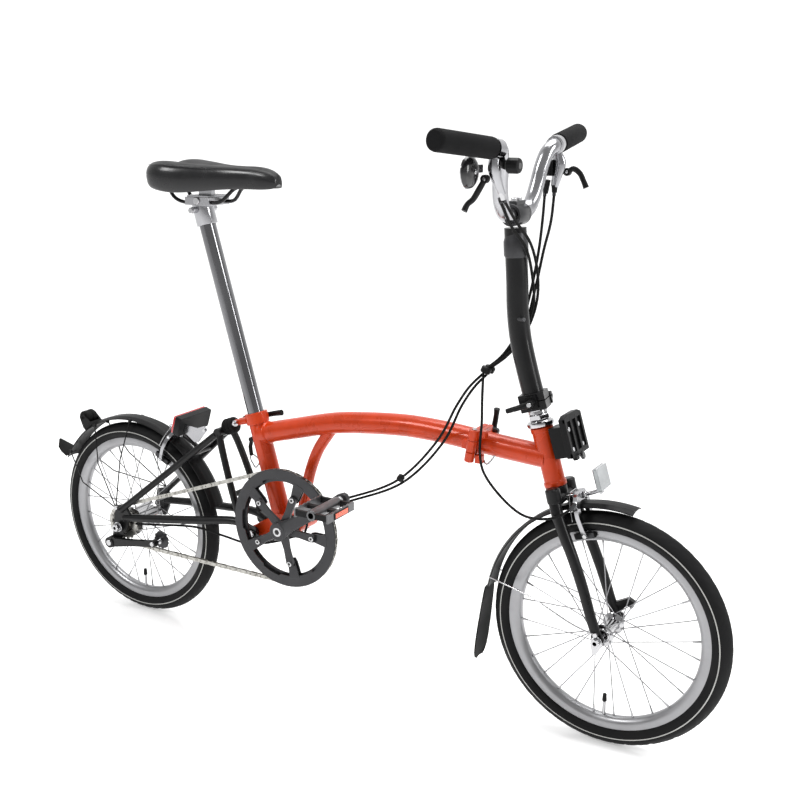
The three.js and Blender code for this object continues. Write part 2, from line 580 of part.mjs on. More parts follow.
// Mudguards: a thin arched strip that follows the tyre.
function mudguard(axle, fromDeg, toDeg, steps) {
  const arch = [];
  for (let i = 0; i <= 4; i++) {
    const a = (i / 4 - 0.5) * 1.9;
    arch.push([24 * Math.sin(a), -11 + 11 * Math.cos(a)]);
  }
  const outline = [...arch, ...arch.map(([y, r]) => [y * 0.94, r - 1.8]).reverse()];
  const sections = [];
  for (let s = 0; s <= steps; s++) {
    const a = THREE.MathUtils.degToRad(fromDeg + ((toDeg - fromDeg) * s) / steps);
    sections.push(outline.map(([y, r]) => [
      axle[0] + (MUDGUARD_R + r) * Math.cos(a), y, axle[1] + (MUDGUARD_R + r) * Math.sin(a),
    ]));
  }
  return loft(sections);
}
const onWheel = (axle, r, deg, y) => {
  const a = THREE.MathUtils.degToRad(deg);
  return [axle[0] + r * Math.cos(a), y, axle[1] + r * Math.sin(a)];
};
const flapAt = (z) => onWheel(FRONT_AXLE, MUDGUARD_R + 1, 171, 0)[0] - (240 - z) * 0.12 + 1;
const frontFlap = loft(
  [[238, 20], [200, 23], [150, 26], [112, 24], [96, 17]].map(([z, w]) => [
    [flapAt(z) - 4, w, z], [flapAt(z) - 1.6, w, z], [flapAt(z) - 1.6, -w, z], [flapAt(z) - 4, -w, z],
  ]),
);
piece(forkGroup, 'front_mudflap', frontFlap, RUBBER);

const frontStay = (side) => pipe(
  [[521, side * 57.4, 220], [480, side * 55, 229], [400, side * 40, 252], [324, side * 25, 262], [308.5, side * 17, 261]],
  1.3,
  6,
  10,
);
piece(
  forkGroup,
  'front_mudguard',
  join(mudguard(FRONT_AXLE, 80, 172, 12), frontStay(-1), frontStay(1)),
  BLACK,
);

// Rim brakes: two arms on one bolt, each with its block.
function brakeArm(side, origin, out, up, thick, offset) {
  const outline = [
    [-7, 6], [10, 9], [26, 5], [37, -8], [38.5, -30], [33, -52], [26.5, -66], [20.5, -66],
    [20.5, -54], [27, -30], [26, -14], [18, -6], [-7, -7],
  ];
  const across = [0, side, 0];
  const spot = (a, b, c) => origin.map((v, i) => v + [0, side * a, 0][i] + up[i] * b + out[i] * c);
  const body = join(
    plate(outline, spot(0, 0, offset), across, up, thick),
    plate([[-19, -4.2], [19, -4.2], [19, 4.2], [-19, 4.2]], spot(16.6, -65.5, 0), out, up, 6.6),
    rod(spot(18, -63.5, offset), spot(22, -63.5, offset), 3, 3, 8),
  );
  return cut(body, rod(spot(0, 0, -30), spot(0, 0, 30), 3.4, 3.4, 10));
}
function brakeBolt(origin, out) {
  const spot = (c) => origin.map((v, i) => v + out[i] * c);
  return [
    rod(spot(-22), spot(13), 2.9, 2.9, 10),
    rod(spot(8.6), spot(13), 6, 6, 10),
    rod(spot(-22), spot(-8.6), 6.5, 6.5, 10),
  ];
}
function brake(group, name, origin, out, up) {
  piece(group, `${name}_arm_right`, brakeArm(-1, origin, out, up, 7.4, 4.1), SILVER);
  piece(group, `${name}_arm_left`, brakeArm(1, origin, out, up, 7.4, -4.1), SILVER);
}
brake(forkGroup, 'front_brake', FRONT_BRAKE, AHEAD, lift(STEER));
const frontReflectorAt = [499, 0, 472];
const lens = plate([[-22, -19], [22, -19], [22, 19], [-22, 19]], frontReflectorAt, ACROSS, lift(STEER), 8);
piece(forkGroup, 'front_reflector', join(
  lens,
  plate([[-7, -26], [7, -26], [7, 12], [-7, 12]], [494.4, 0, 470.6], ACROSS, lift(STEER), 2.4),
  pipe([[501, 0, 452], [494, 0, 448], [484, 0, 443], [472, 0, 438.5]], 3.4, 8, 4),
  brakeBolt(FRONT_BRAKE, AHEAD),
), CLEAR_LENS);
// ---------------------------------------------------------------- wheels
function tyre() {
  const half = [[208, 0], [205, 10], [196, 17.6], [185, 17.6], [176.9, 10]];
  const mirror = half.slice(1).map(([r, y]) => [r, -y]).reverse();
  const profile = [...half, ...mirror, half[0]];
  return turned(profile, 32);
}
function rim() {
  const profile = [
    [176.1, -10], [176.1, 10], [165, 12], [157.4, 4], [157.4, -4], [165, -12], [176.1, -10],
  ];
  return join(turned(profile, 32), rod([0, 0, -160], [0, 0, -120], 3.2, 2.6, 6));
}
function spokedHub(flangeY, flangeR, barrelR) {
  const hub = turned([
    [5.1, -flangeY - 5], [12, -flangeY - 5], [flangeR, -flangeY - 2.4], [flangeR, -flangeY + 2.4],
    [barrelR, -flangeY + 5], [barrelR, flangeY - 5], [flangeR, flangeY - 2.4], [flangeR, flangeY + 2.4],
    [12, flangeY + 5], [5.1, flangeY + 5], [5.1, -flangeY - 5],
  ], 14);
  const spokes = [];
  for (let i = 0; i < SPOKES; i++) {
    const side = i % 2 ? 1 : -1;
    const turn = Math.floor(i / 2) % 2 ? 1 : -1;
    const lean = turn * 0.75;
    const layer = side * turn * 1.3; // crossing spokes pass one outside the other
    const a = (2 * Math.PI * (i + 0.5)) / SPOKES;
    const foot = [(flangeR - 2.5) * Math.cos(a + lean), side * flangeY + layer, (flangeR - 2.5) * Math.sin(a + lean)];
    spokes.push(rod(foot, [156.4 * Math.cos(a), side * 2 + layer, 156.4 * Math.sin(a)], 1, 1, 3));
  }
  return join(hub, spokes);
}
const axleRod = (reach, nut, r) => [
  rod([0, -reach, 0], [0, reach, 0], 4.7, 4.7, 12),
  rod([0, -reach, 0], [0, -reach + nut, 0], r, r, 6),
  rod([0, reach - nut, 0], [0, reach, 0], r, r, 6),
];

const frontWheel = assembly(bicycle, 'front_wheel_assembly', lift(FRONT_AXLE));
piece(frontWheel, 'front_tyre', tyre(), RUBBER);
piece(frontWheel, 'front_rim', rim(), SILVER);
piece(frontWheel, 'front_hub_and_spokes', spokedHub(27, 19, 13), STEEL);
const hookTab = [[-8, 6], [8, 6], [10, -4], [1, -22], [-6, -24], [-10, -4]];
const frontAxle = assembly(bicycle, 'front_axle_assembly', lift(FRONT_AXLE));
piece(frontAxle, 'front_axle', join(axleRod(64, 7, 8), sidePlate(hookTab, -57.2, -55.2)), SILVER);

const rearWheel = assembly(bicycle, 'rear_wheel_assembly', lift(REAR_AXLE));
piece(rearWheel, 'rear_tyre', tyre(), RUBBER);
piece(rearWheel, 'rear_rim', rim(), SILVER);
piece(rearWheel, 'rear_hub_and_spokes', spokedHub(29, 31, 27), STEEL);

function toothed(teeth, r, depth, hole, thickness, y, holeSides = 24) {
  const outline = [];
  for (let i = 0; i < teeth; i++) {
    for (const [k, height] of [[0, 0], [0.5, depth]]) {
      const a = (2 * Math.PI * (i + k)) / teeth;
      outline.push([(r - depth + height) * Math.cos(a), (r - depth + height) * Math.sin(a)]);
    }
  }
  return plate(outline, [0, y, 0], [1, 0, 0], [0, 0, 1], thickness, [[0, 0, hole, holeSides]]);
}
const sprockets = join(
  plate(disc(33.4, 16), [0, CHAIN_Y, 0], [1, 0, 0], [0, 0, 1], 2.4, [[0, 0, 8.2, 12]]),
  turned([[8.2, -53], [14, -53], [14, -45], [26, -45], [26, -42.6], [14, -42.6], [14, -36], [8.2, -36], [8.2, -53]], 12),
);
piece(rearWheel, 'rear_sprockets', sprockets, CHAIN_STEEL);

// ---------------------------------------------------------------- rear frame
const rearGroup = assembly(bicycle, 'rear_frame_assembly');
const stayTop = [-286, 435];
const rearSides = [-1, 1].map((side) => [
  pipe([[-512, side * 63, 228], [-440, side * 59, 238], [-330, side * 46, 252], [-236, side * 31, 262],
    [-212, side * 29.5, 252]], 8.5, 8, 5),
  rod([-518, side * 67, 244], [-292, side * 21, 431], 6.8, 6.8, 8),
  pipe([[-288, side * 15, 440], [-281, side * 22, 424], [-252, side * 32, 340], [-228, side * 33, 262]], 7, 6, 3),
  sidePlate([[-203, 258], [-191, 252], [-190, 238], [-203, 232], [-232, 246], [-236, 268]], side * 25, side * 34),
  sidePlate([[-541, 214], [-532, 252], [-508, 258], [-494, 238], [-500, 222], [-512, 194], [-534, 192]],
    side * 60, side * 66),
]);
let rearFrame = cut(
  join(
    rearSides.flat(),
    rod([stayTop[0], -26, stayTop[1]], [stayTop[0], 26, stayTop[1]], 9.5, 9.5, 14),
    rod([-352, -34, 383], [-352, 34, 383], 6, 6, 12),
    rod([-246, -34, 316], [-246, 34, 316], 5.5, 5.5, 12),
    pipe([[-352, 0, 383], [-372, 0, 398], [-394, 0, 409]], 5, 8, 3),
    sidePlate([[-550, 164], [-536, 161], [-512, 192], [-520, 206], [-541, 206]], -66.4, -62),
    rod(lift(REAR_PIVOT, -34), lift(REAR_PIVOT, -20), 11, 11, 10),
    rod(lift(REAR_PIVOT, 20), lift(REAR_PIVOT, 34), 11, 11, 10),
  ),
  rod(lift(REAR_PIVOT, -24.6), lift(REAR_PIVOT, 24.6), 12.6, 12.6, 16),
  rod(lift(REAR_AXLE, -80), lift(REAR_AXLE, 80), 5.2, 5.2, 12),
);
rearFrame = rearFrame.add(solid(rod(lift(REAR_PIVOT, -36), lift(REAR_PIVOT, 36), 4.9, 4.9, 10)));
piece(rearGroup, 'rear_frame', rearFrame, BLACK);
const blockLine = [-0.935, 0, -0.355];
const suspension = turnedAlong(
  [[0, 0], [12, 0], [16.5, 6], [13.5, 10], [16.5, 15], [13.5, 19], [16.5, 24], [13, 29], [0, 29]],
  [-256.5, 0, 452],
  blockLine,
  14,
);
const stayCrown = rod([stayTop[0], -40, stayTop[1]], [stayTop[0], 40, stayTop[1]], 10, 10, 14);
const stayHeads = [-1, 1].map((side) => rod([-300, side * 22.5, 424], [-276, side * 18, 444.5], 7.6, 7.6, 10));
piece(rearGroup, 'suspension_block', cut(solid(suspension), stayCrown, stayHeads), RUBBER);
const rearAxle = assembly(bicycle, 'rear_axle_assembly', lift(REAR_AXLE));
piece(rearAxle, 'rear_axle', join(axleRod(82, 9, 9)), SILVER);
const tail = onWheel(REAR_AXLE, MUDGUARD_R + 1, 150.2, 0);
const rearFlap = loft([
  [[tail[0] + 7, 0], [tail[2] + 4.5, 13]], [[tail[0] - 1, 0], [tail[2] - 3, 20]], [[tail[0] - 12, 0], [tail[2] + 7, 22]],
  [[tail[0] - 26, 0], [tail[2] + 14, 16]], [[-755.4, 0], [tail[2] + 24, 3]],
].map(([[x], [z, w]]) => [[x, -w, z], [x, -w, z + 3], [x, w, z + 3], [x, w, z]]));

function stayWires(side) {
  const eye = [-521, side * 76.8, 252];
  const ends = [
    [onWheel(REAR_AXLE, 217.4, 146, side * 19), onWheel(REAR_AXLE, 140, 150, side * 46)],
    [onWheel(REAR_AXLE, 218, 118, side * 19), onWheel(REAR_AXLE, 140, 121, side * 46)],
    [onWheel(REAR_AXLE, 218, 90, side * 19), onWheel(REAR_AXLE, 140, 93, side * 46)],
  ];
  return [
    rod([-521, side * 74.9, 252], [-521, side * 78.7, 252], 4.5, 4.5, 8),
    ends.map(([end, bend]) => [
      rod(eye, bend, 1.2, 1.2, 4),
      rod(bend, end, 1.2, 1.2, 4),
      block(bend, [2.4, 2.4, 2.4]),
    ]),
  ];
}

const rollerSpot = onWheel(REAR_AXLE, 246, 124.5, 0);
const rollerFork = [-1, 1].map((side) => plate(
  [[-11, -19.5], [13, -19.5], [7, 5], [-6, 5]], [rollerSpot[0], side * 16, rollerSpot[2]],
  [0.824, 0, 0.566], [-0.566, 0, 0.824], 4,
));
const rollerSaddle = plate(
  [[-11, -24], [13, -24], [13, -16], [-11, -16]], rollerSpot, [0.824, 0, 0.566], [-0.566, 0, 0.824], 34,
);
const rearGuard = cut(
  join(mudguard(REAR_AXLE, 17, 151, 14), rearFlap, stayWires(-1), stayWires(1), rollerFork, rollerSaddle),
  rod([rollerSpot[0], -30, rollerSpot[2]], [rollerSpot[0], 30, rollerSpot[2]], 3.3, 3.3, 8),
);
piece(rearGroup, 'rear_mudguard', rearGuard, BLACK);
const rollerShape = turned([[0, -20], [2.9, -20], [2.9, -13.5], [13, -13.5], [14, -10], [14, 10], [13, 13.5],
  [2.9, 13.5], [2.9, 20], [0, 20]], 14);
piece(rearGroup, 'parking_roller', rollerShape.translate(rollerSpot[0], 0, rollerSpot[2]), RUBBER);

const tailLightTilt = [0.30, 0, 0.954];
const reflectorAt = [-371, 0, 441];
piece(rearGroup, 'rear_reflector', join(
  plate([[-46, -18], [46, -18], [46, 19], [-46, 19]], reflectorAt, ACROSS, tailLightTilt, 20),
  plate([[-48, -20], [48, -20], [48, 21], [-48, 21]], [-382, 0, 444.5], ACROSS, tailLightTilt, 4),
  sidePlate([[-366, 428], [-362, 444], [-330, 441], [-314, 447], [-306, 440], [-316, 428], [-330, 412], [-340, 410]], -31, -28),
), RED_LENS);
const brakeUp = [Math.cos(1.065), 0, Math.sin(1.065)];
const brakeOut = [brakeUp[2], 0, -brakeUp[0]];
const REAR_BRAKE = onWheel(REAR_AXLE, 236, 61, 0);
brake(rearGroup, 'rear_brake', REAR_BRAKE, brakeOut, brakeUp);

// Chain tensioner: an arm outside the right dropout, with one toothed wheel inside it.
const armFoot = [-543, 172];
const armTip = [-424, 192];
const tensioner = join(
  rod(lift(armFoot, -67), lift(armFoot, -82), 12.5, 11.5, 14),
  rod(lift(armTip, -60), lift(armTip, -79), 8, 8, 12),
  plate([[0, -10], [120.5, -7], [120.5, 7], [0, 10]], [armFoot[0], -75, armFoot[1]], [0.986, 0, 0.166], [-0.166, 0, 0.986], 9),
);
piece(rearGroup, 'chain_tensioner_arm', cut(tensioner, rod(lift(armTip, -50), lift(armTip, -70), 3.7, 3.7, 8)), BLACK);
const jockey = join(
  toothed(11, 19.5, 3, 6, 2.4, CHAIN_Y, 16),
  turned([[0, -66], [3.3, -66], [3.3, -57.9], [7, -57.9], [7, -42], [0, -42]], 14),
);
piece(rearGroup, 'chain_tensioner_wheel', jockey.translate([armTip[0], 0, armTip[1]]), GREY);

// ---------------------------------------------------------------- cranks, pedals and chain
const crankGroup = assembly(bicycle, 'crank_assembly', lift(BOTTOM_BRACKET));
const along = [Math.cos(CRANK_ANGLE), 0, Math.sin(CRANK_ANGLE)];
const beside = [-along[2], 0, along[0]];
const armAt = (d, y) => [along[0] * d, y, along[2] * d];
const armShape = [[-15, -13], [0, -16], [30, -12.5], [CRANK_LEN - 12, -10.5], [CRANK_LEN + 6, -10], [CRANK_LEN + 12, 0],
  [CRANK_LEN + 6, 10], [CRANK_LEN - 12, 10.5], [30, 12.5], [0, 16], [-15, 13]];
const spider = [0, 1, 2, 3, 4].map((i) => {
  const a = CRANK_ANGLE + (i * 2 * Math.PI) / 5 + Math.PI / 5;
  const u = [Math.cos(a), 0, Math.sin(a)];
  return [
    plate([[6, -9], [60, -6.5], [98.5, -6.5], [98.5, 6.5], [60, 6.5], [6, 9]], [0, -60.5, 0], u, [-u[2], 0, u[0]], 6),
  ];
});
const crankRight = cut(
  join(
    plate(armShape, [0, -71, 0], along, beside, 14),
    rod([0, -78, 0], [0, -45, 0], 18, 16, 20),
    rod([0, -46, 0], [0, -36, 0], 12, 12, 16),
    spider.flat(),
    plate(disc(GUARD_R, 36), [0, -56.4, 0], [1, 0, 0], [0, 0, 1], 3.2, [[0, 0, 94, 36]]),
    rod(armAt(CRANK_LEN, -66), armAt(CRANK_LEN, -86), 8, 8, 10),
    rod(armAt(CRANK_LEN, -84), armAt(CRANK_LEN, -160), 5.6, 5.6, 10),
  ),
  rod([0, -82, 0], [0, -74, 0], 8, 8, 14),
);
piece(crankGroup, 'crank_right_with_spider', crankRight, GREY);
const tabs = [0, 1, 2, 3, 4].map((i) => {
  const a = CRANK_ANGLE + (i * 2 * Math.PI) / 5 + Math.PI / 5;
  const u = [Math.cos(a), 0, Math.sin(a)];
  return plate([[70, -8], [95, -10], [95, 10], [70, 8]], [0, CHAIN_Y, 0], u, [-u[2], 0, u[0]], 3);
});
const chainring = join(toothed(CHAINRING_TEETH / 2, CHAINRING_R, 3, 92, 3, CHAIN_Y, 27), tabs);
piece(crankGroup, 'chainring', chainring, GREY);
const spindleLeft = join(
  rod([0, -35.6, 0], [0, 62, 0], 8.5, 8.5, 16),
  plate(armShape.map(([a, b]) => [-a, b]).reverse(), [0, 67, 0], along, beside, 13),
  rod([0, 52, 0], [0, 74, 0], 16, 16, 16),
  rod(armAt(-CRANK_LEN, 66), armAt(-CRANK_LEN, 78), 8, 8, 10),
  block(armAt(-CRANK_LEN, 81.5), [22, 9, 22]),
);
piece(crankGroup, 'crank_left_with_spindle', spindleLeft, GREY);

function pedalFrame(side, inner, outer) {
  const mid = (inner + outer) / 2;
  const width = Math.abs(outer - inner);
  const cage = [];
  for (const x of [-34, 34]) {
    cage.push(block([x, side * mid, 0], [4, width, 17]));
  }
  for (const y of [inner + 3, outer - 3]) {
    cage.push(block([0, side * y, 0], [68, 6, 12]));
  }
  cage.push(rod([0, side * inner, 0], [0, side * outer, 0], 10, 10, 14));
  cage.push(block([0, side * mid, 0], [68, 12, 6]));
  return cut(join(cage), rod([0, side * (inner - 6), 0], [0, side * (outer - 5), 0], 6, 6, 12));
}
const pedalSpot = (side) => {
  const d = side < 0 ? CRANK_LEN : -CRANK_LEN;
  return [BOTTOM_BRACKET[0] + along[0] * d, 0, BOTTOM_BRACKET[1] + along[2] * d];
};
const pedalRight = assembly(bicycle, 'pedal_right_assembly', pedalSpot(-1));
piece(pedalRight, 'pedal_right_body', pedalFrame(-1, 88, 172), GREY);
const pedalLeft = assembly(bicycle, 'pedal_left_assembly', pedalSpot(1));
piece(pedalLeft, 'pedal_left_spindle', join(
  block([0, 92, 0], [22, 11, 22]),
  rod([0, 95, 0], [0, 172, 0], 5.6, 5.6, 12),
), STEEL);
piece(pedalLeft, 'pedal_left_body', pedalFrame(1, 99, 181), BLACK);

// Chain: one band round the chainring and the sprocket, lifted over nothing and carried under the tensioner wheel.
function chainLine() {
  const ringR = CHAINRING_R + 4.9;
  const cogR = 38.4;
  const idlerR = 24.2;
  const circles = [[BOTTOM_BRACKET, ringR], [REAR_AXLE, cogR], [armTip, idlerR]];
  const leave = circles.map(([c0, r0], i) => {
    const [c1, r1] = circles[(i + 1) % 3];
    const base = Math.atan2(c1[1] - c0[1], c1[0] - c0[0]);
    return base - Math.acos((r0 - r1) / Math.hypot(c1[0] - c0[0], c1[1] - c0[1]));
  });
  const points = [];
  circles.forEach(([c, r], i) => {
    const from = leave[(i + 2) % 3];
    let to = leave[i];
    while (to < from) {
      to += 2 * Math.PI;
    }
    const steps = Math.max(1, Math.ceil((to - from) / 0.22));
    for (let k = 0; k <= steps; k++) {
      const a = from + ((to - from) * k) / steps;
      points.push([c[0] + r * Math.cos(a), c[1] + r * Math.sin(a)]);
    }
  });
  return points;
}
function band(points, half) {
  const count = points.length;
  const offset = (k) => points.map((p, i) => {
    const a = points[(i + count - 1) % count];
    const b = points[(i + 1) % count];
    const length = Math.hypot(b[0] - a[0], b[1] - a[1]);
    return [p[0] + (k * (b[1] - a[1])) / length, p[1] - (k * (b[0] - a[0])) / length];
  });
  const sections = offset(half).map((p, i) => {
    const q = offset(-half)[i];
    return [[p[0], CHAIN_Y + 3.4, p[1]], [q[0], CHAIN_Y + 3.4, q[1]], [q[0], CHAIN_Y - 3.4, q[1]],
      [p[0], CHAIN_Y - 3.4, p[1]]];
  });
  return sections;
}
piece(bicycle, 'chain', loft(band(chainLine(), 3.9), true), CHAIN_STEEL);

export default bicycle;
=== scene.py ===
import math
import bmesh
import bpy
from mathutils import Matrix, Vector


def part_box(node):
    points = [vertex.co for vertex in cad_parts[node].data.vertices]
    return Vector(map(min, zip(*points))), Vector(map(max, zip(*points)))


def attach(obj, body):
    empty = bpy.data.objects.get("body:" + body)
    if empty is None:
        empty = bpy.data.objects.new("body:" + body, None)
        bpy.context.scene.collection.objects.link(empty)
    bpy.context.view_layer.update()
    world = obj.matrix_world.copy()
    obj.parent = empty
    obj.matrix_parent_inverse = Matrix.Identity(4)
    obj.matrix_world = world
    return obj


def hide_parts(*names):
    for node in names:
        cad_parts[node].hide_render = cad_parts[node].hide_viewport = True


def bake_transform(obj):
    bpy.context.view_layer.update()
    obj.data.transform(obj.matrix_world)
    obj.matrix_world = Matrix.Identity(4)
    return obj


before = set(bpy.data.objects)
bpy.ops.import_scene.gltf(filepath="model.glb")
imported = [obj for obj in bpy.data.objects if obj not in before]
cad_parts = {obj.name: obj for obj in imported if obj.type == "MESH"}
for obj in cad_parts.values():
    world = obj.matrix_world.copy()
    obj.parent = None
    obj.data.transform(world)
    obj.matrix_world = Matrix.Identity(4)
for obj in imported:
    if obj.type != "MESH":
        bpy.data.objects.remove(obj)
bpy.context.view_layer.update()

scene = bpy.context.scene


def add_object(name, data):
    obj = bpy.data.objects.new(name, data)
    scene.collection.objects.link(obj)
    return obj


# ---- places
# Lengths are in millimetres in the bicycle's own frame: x forward from halfway between the wheels, y to the
# rider's left, z up from the ground. at() turns them into the scene's metres.
def middle_x(node):
    low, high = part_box(node)
    return (low.x + high.x) * 500


MID_X = (middle_x("front_tyre") + middle_x("rear_tyre")) / 2
TYRE_R = 208.0
FRONT = (middle_x("front_tyre") - MID_X, TYRE_R)
REAR = (middle_x("rear_tyre") - MID_X, TYRE_R)
BB = (middle_x("bottom_bracket_cartridge") - MID_X, 282.0)
STEER = Vector((-0.2924, 0, 0.9563))
AHEAD = Vector((0.9563, 0, 0.2924))
ACROSS = Vector((0, 1, 0))
SEAT_UP = Vector((-0.2723, 0, 0.9622))
HINGE = Vector((11, 0, 64)).normalized()
REAR_PIVOT = (-203, 0, 245)
BAR = Vector((333, 0, 889))
BELL = (315.5, -141, 962)
GRIP_IN, GRIP_OUT = Vector((348, 127, 997)), Vector((328, 268, 1012))
SPOKES = 28
CHAINRING_TEETH, SPROCKET_TEETH, TENSIONER_TEETH = 54, 16, 11
CHAIN_Y = -50
TWO_LINKS = 25.4
CRANK_LENGTH = 170
SEAT_CLAMP = 216
POST_TOP, POST_LENGTH = 622, 500


def at(p):
    return Vector(((p[0] + MID_X) / 1000, p[1] / 1000, p[2] / 1000))


bb = Vector((BB[0], 0, BB[1]))


def steer_at(t, y=0.0, ahead=0.0):
    return Vector((389.8, y, 541.8)) + STEER * t + AHEAD * ahead


def seat_at(t, y=0.0, back=0.0):
    return Vector((-145.4 - 0.9622 * back, y, 263.4 - 0.2723 * back)) + SEAT_UP * t


def hinge_at(t, y=-33.4, ahead=0.0):
    return Vector((272 + ahead, y, 468)) + HINGE * t


def on_wheel(axle, r, deg, y=0.0):
    a = math.radians(deg)
    return Vector((axle[0] + r * math.cos(a), y, axle[1] + r * math.sin(a)))


def ray(angle):
    """The unit vector at an angle in the wheels' plane."""
    return Vector((math.cos(angle), 0, math.sin(angle)))


def mirrored(half):
    """A profile and its mirror image, met at its last point."""
    return half + [(r, -y) for r, y in reversed(half[:-1])]


def rect(x0, z0, x1, z1):
    return [(x0, z0), (x1, z0), (x1, z1), (x0, z1)]


# ---- mesh building
def curve_points(points, step=5.0, closed=False):
    """Points of a smooth curve through the given ones, each with its place along them."""
    pts = [Vector(p) for p in points]
    n = len(pts)
    out = []
    last = n if closed else n - 1
    for i in range(last):
        p1, p2 = pts[i], pts[(i + 1) % n]
        p0 = pts[i - 1] if i > 0 or closed else p1 * 2 - p2
        p3 = pts[(i + 2) % n] if i + 2 < n or closed else p2 * 2 - p1
        t0 = 0.0
        t1 = t0 + max((p1 - p0).length, 1e-6) ** 0.5
        t2 = t1 + max((p2 - p1).length, 1e-6) ** 0.5
        t3 = t2 + max((p3 - p2).length, 1e-6) ** 0.5
        count = max(1, round((p2 - p1).length / step))
        for k in range(count):
            t = t1 + (t2 - t1) * k / count

            def mix(a, b, start, end):
                return a * ((end - t) / (end - start)) + b * ((t - start) / (end - start))
            a1, a2, a3 = mix(p0, p1, t0, t1), mix(p1, p2, t1, t2), mix(p2, p3, t2, t3)
            out.append((mix(mix(a1, a2, t0, t2), mix(a2, a3, t1, t3), t1, t2), i + k / count))
    if not closed:
        out.append((pts[-1], float(n - 1)))
    return out


class Shape:
    """A mesh being put together, in millimetres. slot numbers pick from the materials given to build()."""
    def __init__(self):
        self.verts, self.faces, self.slots = [], [], []

    def face(self, ids, slot):
        self.faces.append(ids)
        self.slots.append(slot)

    def rings(self, rings, slot=0, closed=False, caps=True):
        base = len(self.verts)
        n = len(rings[0])
        for r in rings:
            self.verts += [Vector(p) for p in r]
        count = len(rings)
        for i in range(count if closed else count - 1):
            for j in range(n):
                a, b = base + i * n + j, base + i * n + (j + 1) % n
                c, d = base + ((i + 1) % count) * n + j, base + ((i + 1) % count) * n + (j + 1) % n
                self.face((a, b, d, c), slot[i % len(slot)] if isinstance(slot, list) else slot)
        if caps and not closed:
            first = slot[0] if isinstance(slot, list) else slot
            self.face(tuple(base + j for j in reversed(range(n))), first)
            self.face(tuple(base + (count - 1) * n + j for j in range(n)), first)
        return self

    def pipe(self, points, radius, slot=0, sides=20, step=5.0, closed=False, flat=1.0):
        path = curve_points(points, step, closed)
        pts = [p for p, _ in path]
        n = len(pts)
        tangents = []
        for i in range(n):
            a = pts[i - 1] if i > 0 or closed else pts[0]
            b = pts[(i + 1) % n] if i + 1 < n or closed else pts[-1]
            tangents.append((b - a).normalized())
        side = tangents[0].cross(Vector((0.12, 1, 0.05))).normalized()
        rings = []
        for i in range(n):
            side = (side - tangents[i] * side.dot(tangents[i])).normalized()
            other = tangents[i].cross(side)
            t = path[i][1]
            if isinstance(radius, (list, tuple)):
                k = min(int(t), len(radius) - 2)
                r = radius[k] + (radius[k + 1] - radius[k]) * (t - k)
            else:
                r = radius
            turns = [2 * math.pi * j / sides for j in range(sides)]
            rings.append([pts[i] + side * (r * math.cos(a)) + other * (r * flat * math.sin(a)) for a in turns])
        return self.rings(rings, slot, closed)

    def rod(self, a, b, r0, r1=None, slot=0, sides=28, edge=0.0):
        r1 = r0 if r1 is None else r1
        length = (Vector(b) - Vector(a)).length
        if edge:
            prof = [(0, 0), (r0 - edge, 0), (r0, edge), (r1, length - edge), (r1 - edge, length), (0, length)]
        else:
            prof = [(0, 0), (r0, 0), (r1, length), (0, length)]
        return self.turn(prof, a, Vector(b) - Vector(a), slot, sides)

    def pin(self, centre, y0, y1, *radii, **look):
        """A rod along Y, from y0 to y1."""
        return self.rod(Vector(centre) + ACROSS * y0, Vector(centre) + ACROSS * y1, *radii, **look)

    def turn(self, profile, origin, axis, slot=0, sides=48, wobble=None):
        axis = Vector(axis).normalized()
        spin = Vector((0, 0, 1)).rotation_difference(axis)
        origin = Vector(origin)
        base = len(self.verts)
        m = len(profile)
        for j in range(sides):
            a = 2 * math.pi * j / sides
            for i, (r, d) in enumerate(profile):
                rr = r + (wobble(i, j) if wobble else 0)
                self.verts.append(origin + spin @ Vector((rr * math.cos(a), rr * math.sin(a), d)))
        for j in range(sides):
            k = (j + 1) % sides
            for i in range(m - 1):
                s = slot[i] if isinstance(slot, list) else slot
                self.face((base + j * m + i, base + k * m + i, base + k * m + i + 1, base + j * m + i + 1), s)
        return self

    def toothed(self, centre, radii, count, profile, slot=0):
        """A closed ring; profile(r) gives its section as (radius, y) pairs at a tooth radius."""
        rings = []
        for j in range(count):
            u = ray(2 * math.pi * j / count)
            rings.append([centre + u * r + ACROSS * y for r, y in profile(radii[j % len(radii)])])
        return self.rings(rings, slot, closed=True)

    def plate(self, outline, origin, u, v, thick, slot=0):
        u, v, o = Vector(u).normalized(), Vector(v).normalized(), Vector(origin)
        w = u.cross(v)
        ring = [o + u * a + v * b for a, b in outline]
        return self.rings([[p - w * (thick / 2) for p in ring], [p + w * (thick / 2) for p in ring]], slot)

    def side_plate(self, outline, y0, y1, slot=0):
        return self.plate(outline, (0, (y0 + y1) / 2, 0), (1, 0, 0), (0, 0, 1), abs(y1 - y0), slot)

    def block(self, centre, size, turn=0.0, slot=0):
        u = Vector((math.cos(turn), 0, -math.sin(turn)))
        v = Vector((math.sin(turn), 0, math.cos(turn)))
        x, z = size[0] / 2, size[2] / 2
        return self.plate(rect(-x, -z, x, z), centre, u, v, size[1], slot)

    def hexagon(self, centre, axis, r, height, slot=0):
        c, axis = Vector(centre), Vector(axis).normalized()
        return self.turn([(0, 0), (r * 0.9, 0), (r, height * 0.15), (r, height * 0.85), (r * 0.9, height),
            (0, height)], c, axis, slot, 6)


def mesh_of(name, shape):
    mesh = bpy.data.meshes.new(name)
    mesh.from_pydata([at(v) for v in shape.verts], [], shape.faces)
    mesh.polygons.foreach_set("material_index", shape.slots)
    bm = bmesh.new()
    bm.from_mesh(mesh)
    bmesh.ops.remove_doubles(bm, verts=bm.verts, dist=1e-6)
    bmesh.ops.dissolve_degenerate(bm, edges=bm.edges, dist=1e-7)
    bmesh.ops.recalc_face_normals(bm, faces=bm.faces)
    bm.to_mesh(mesh)
    bm.free()
    return mesh


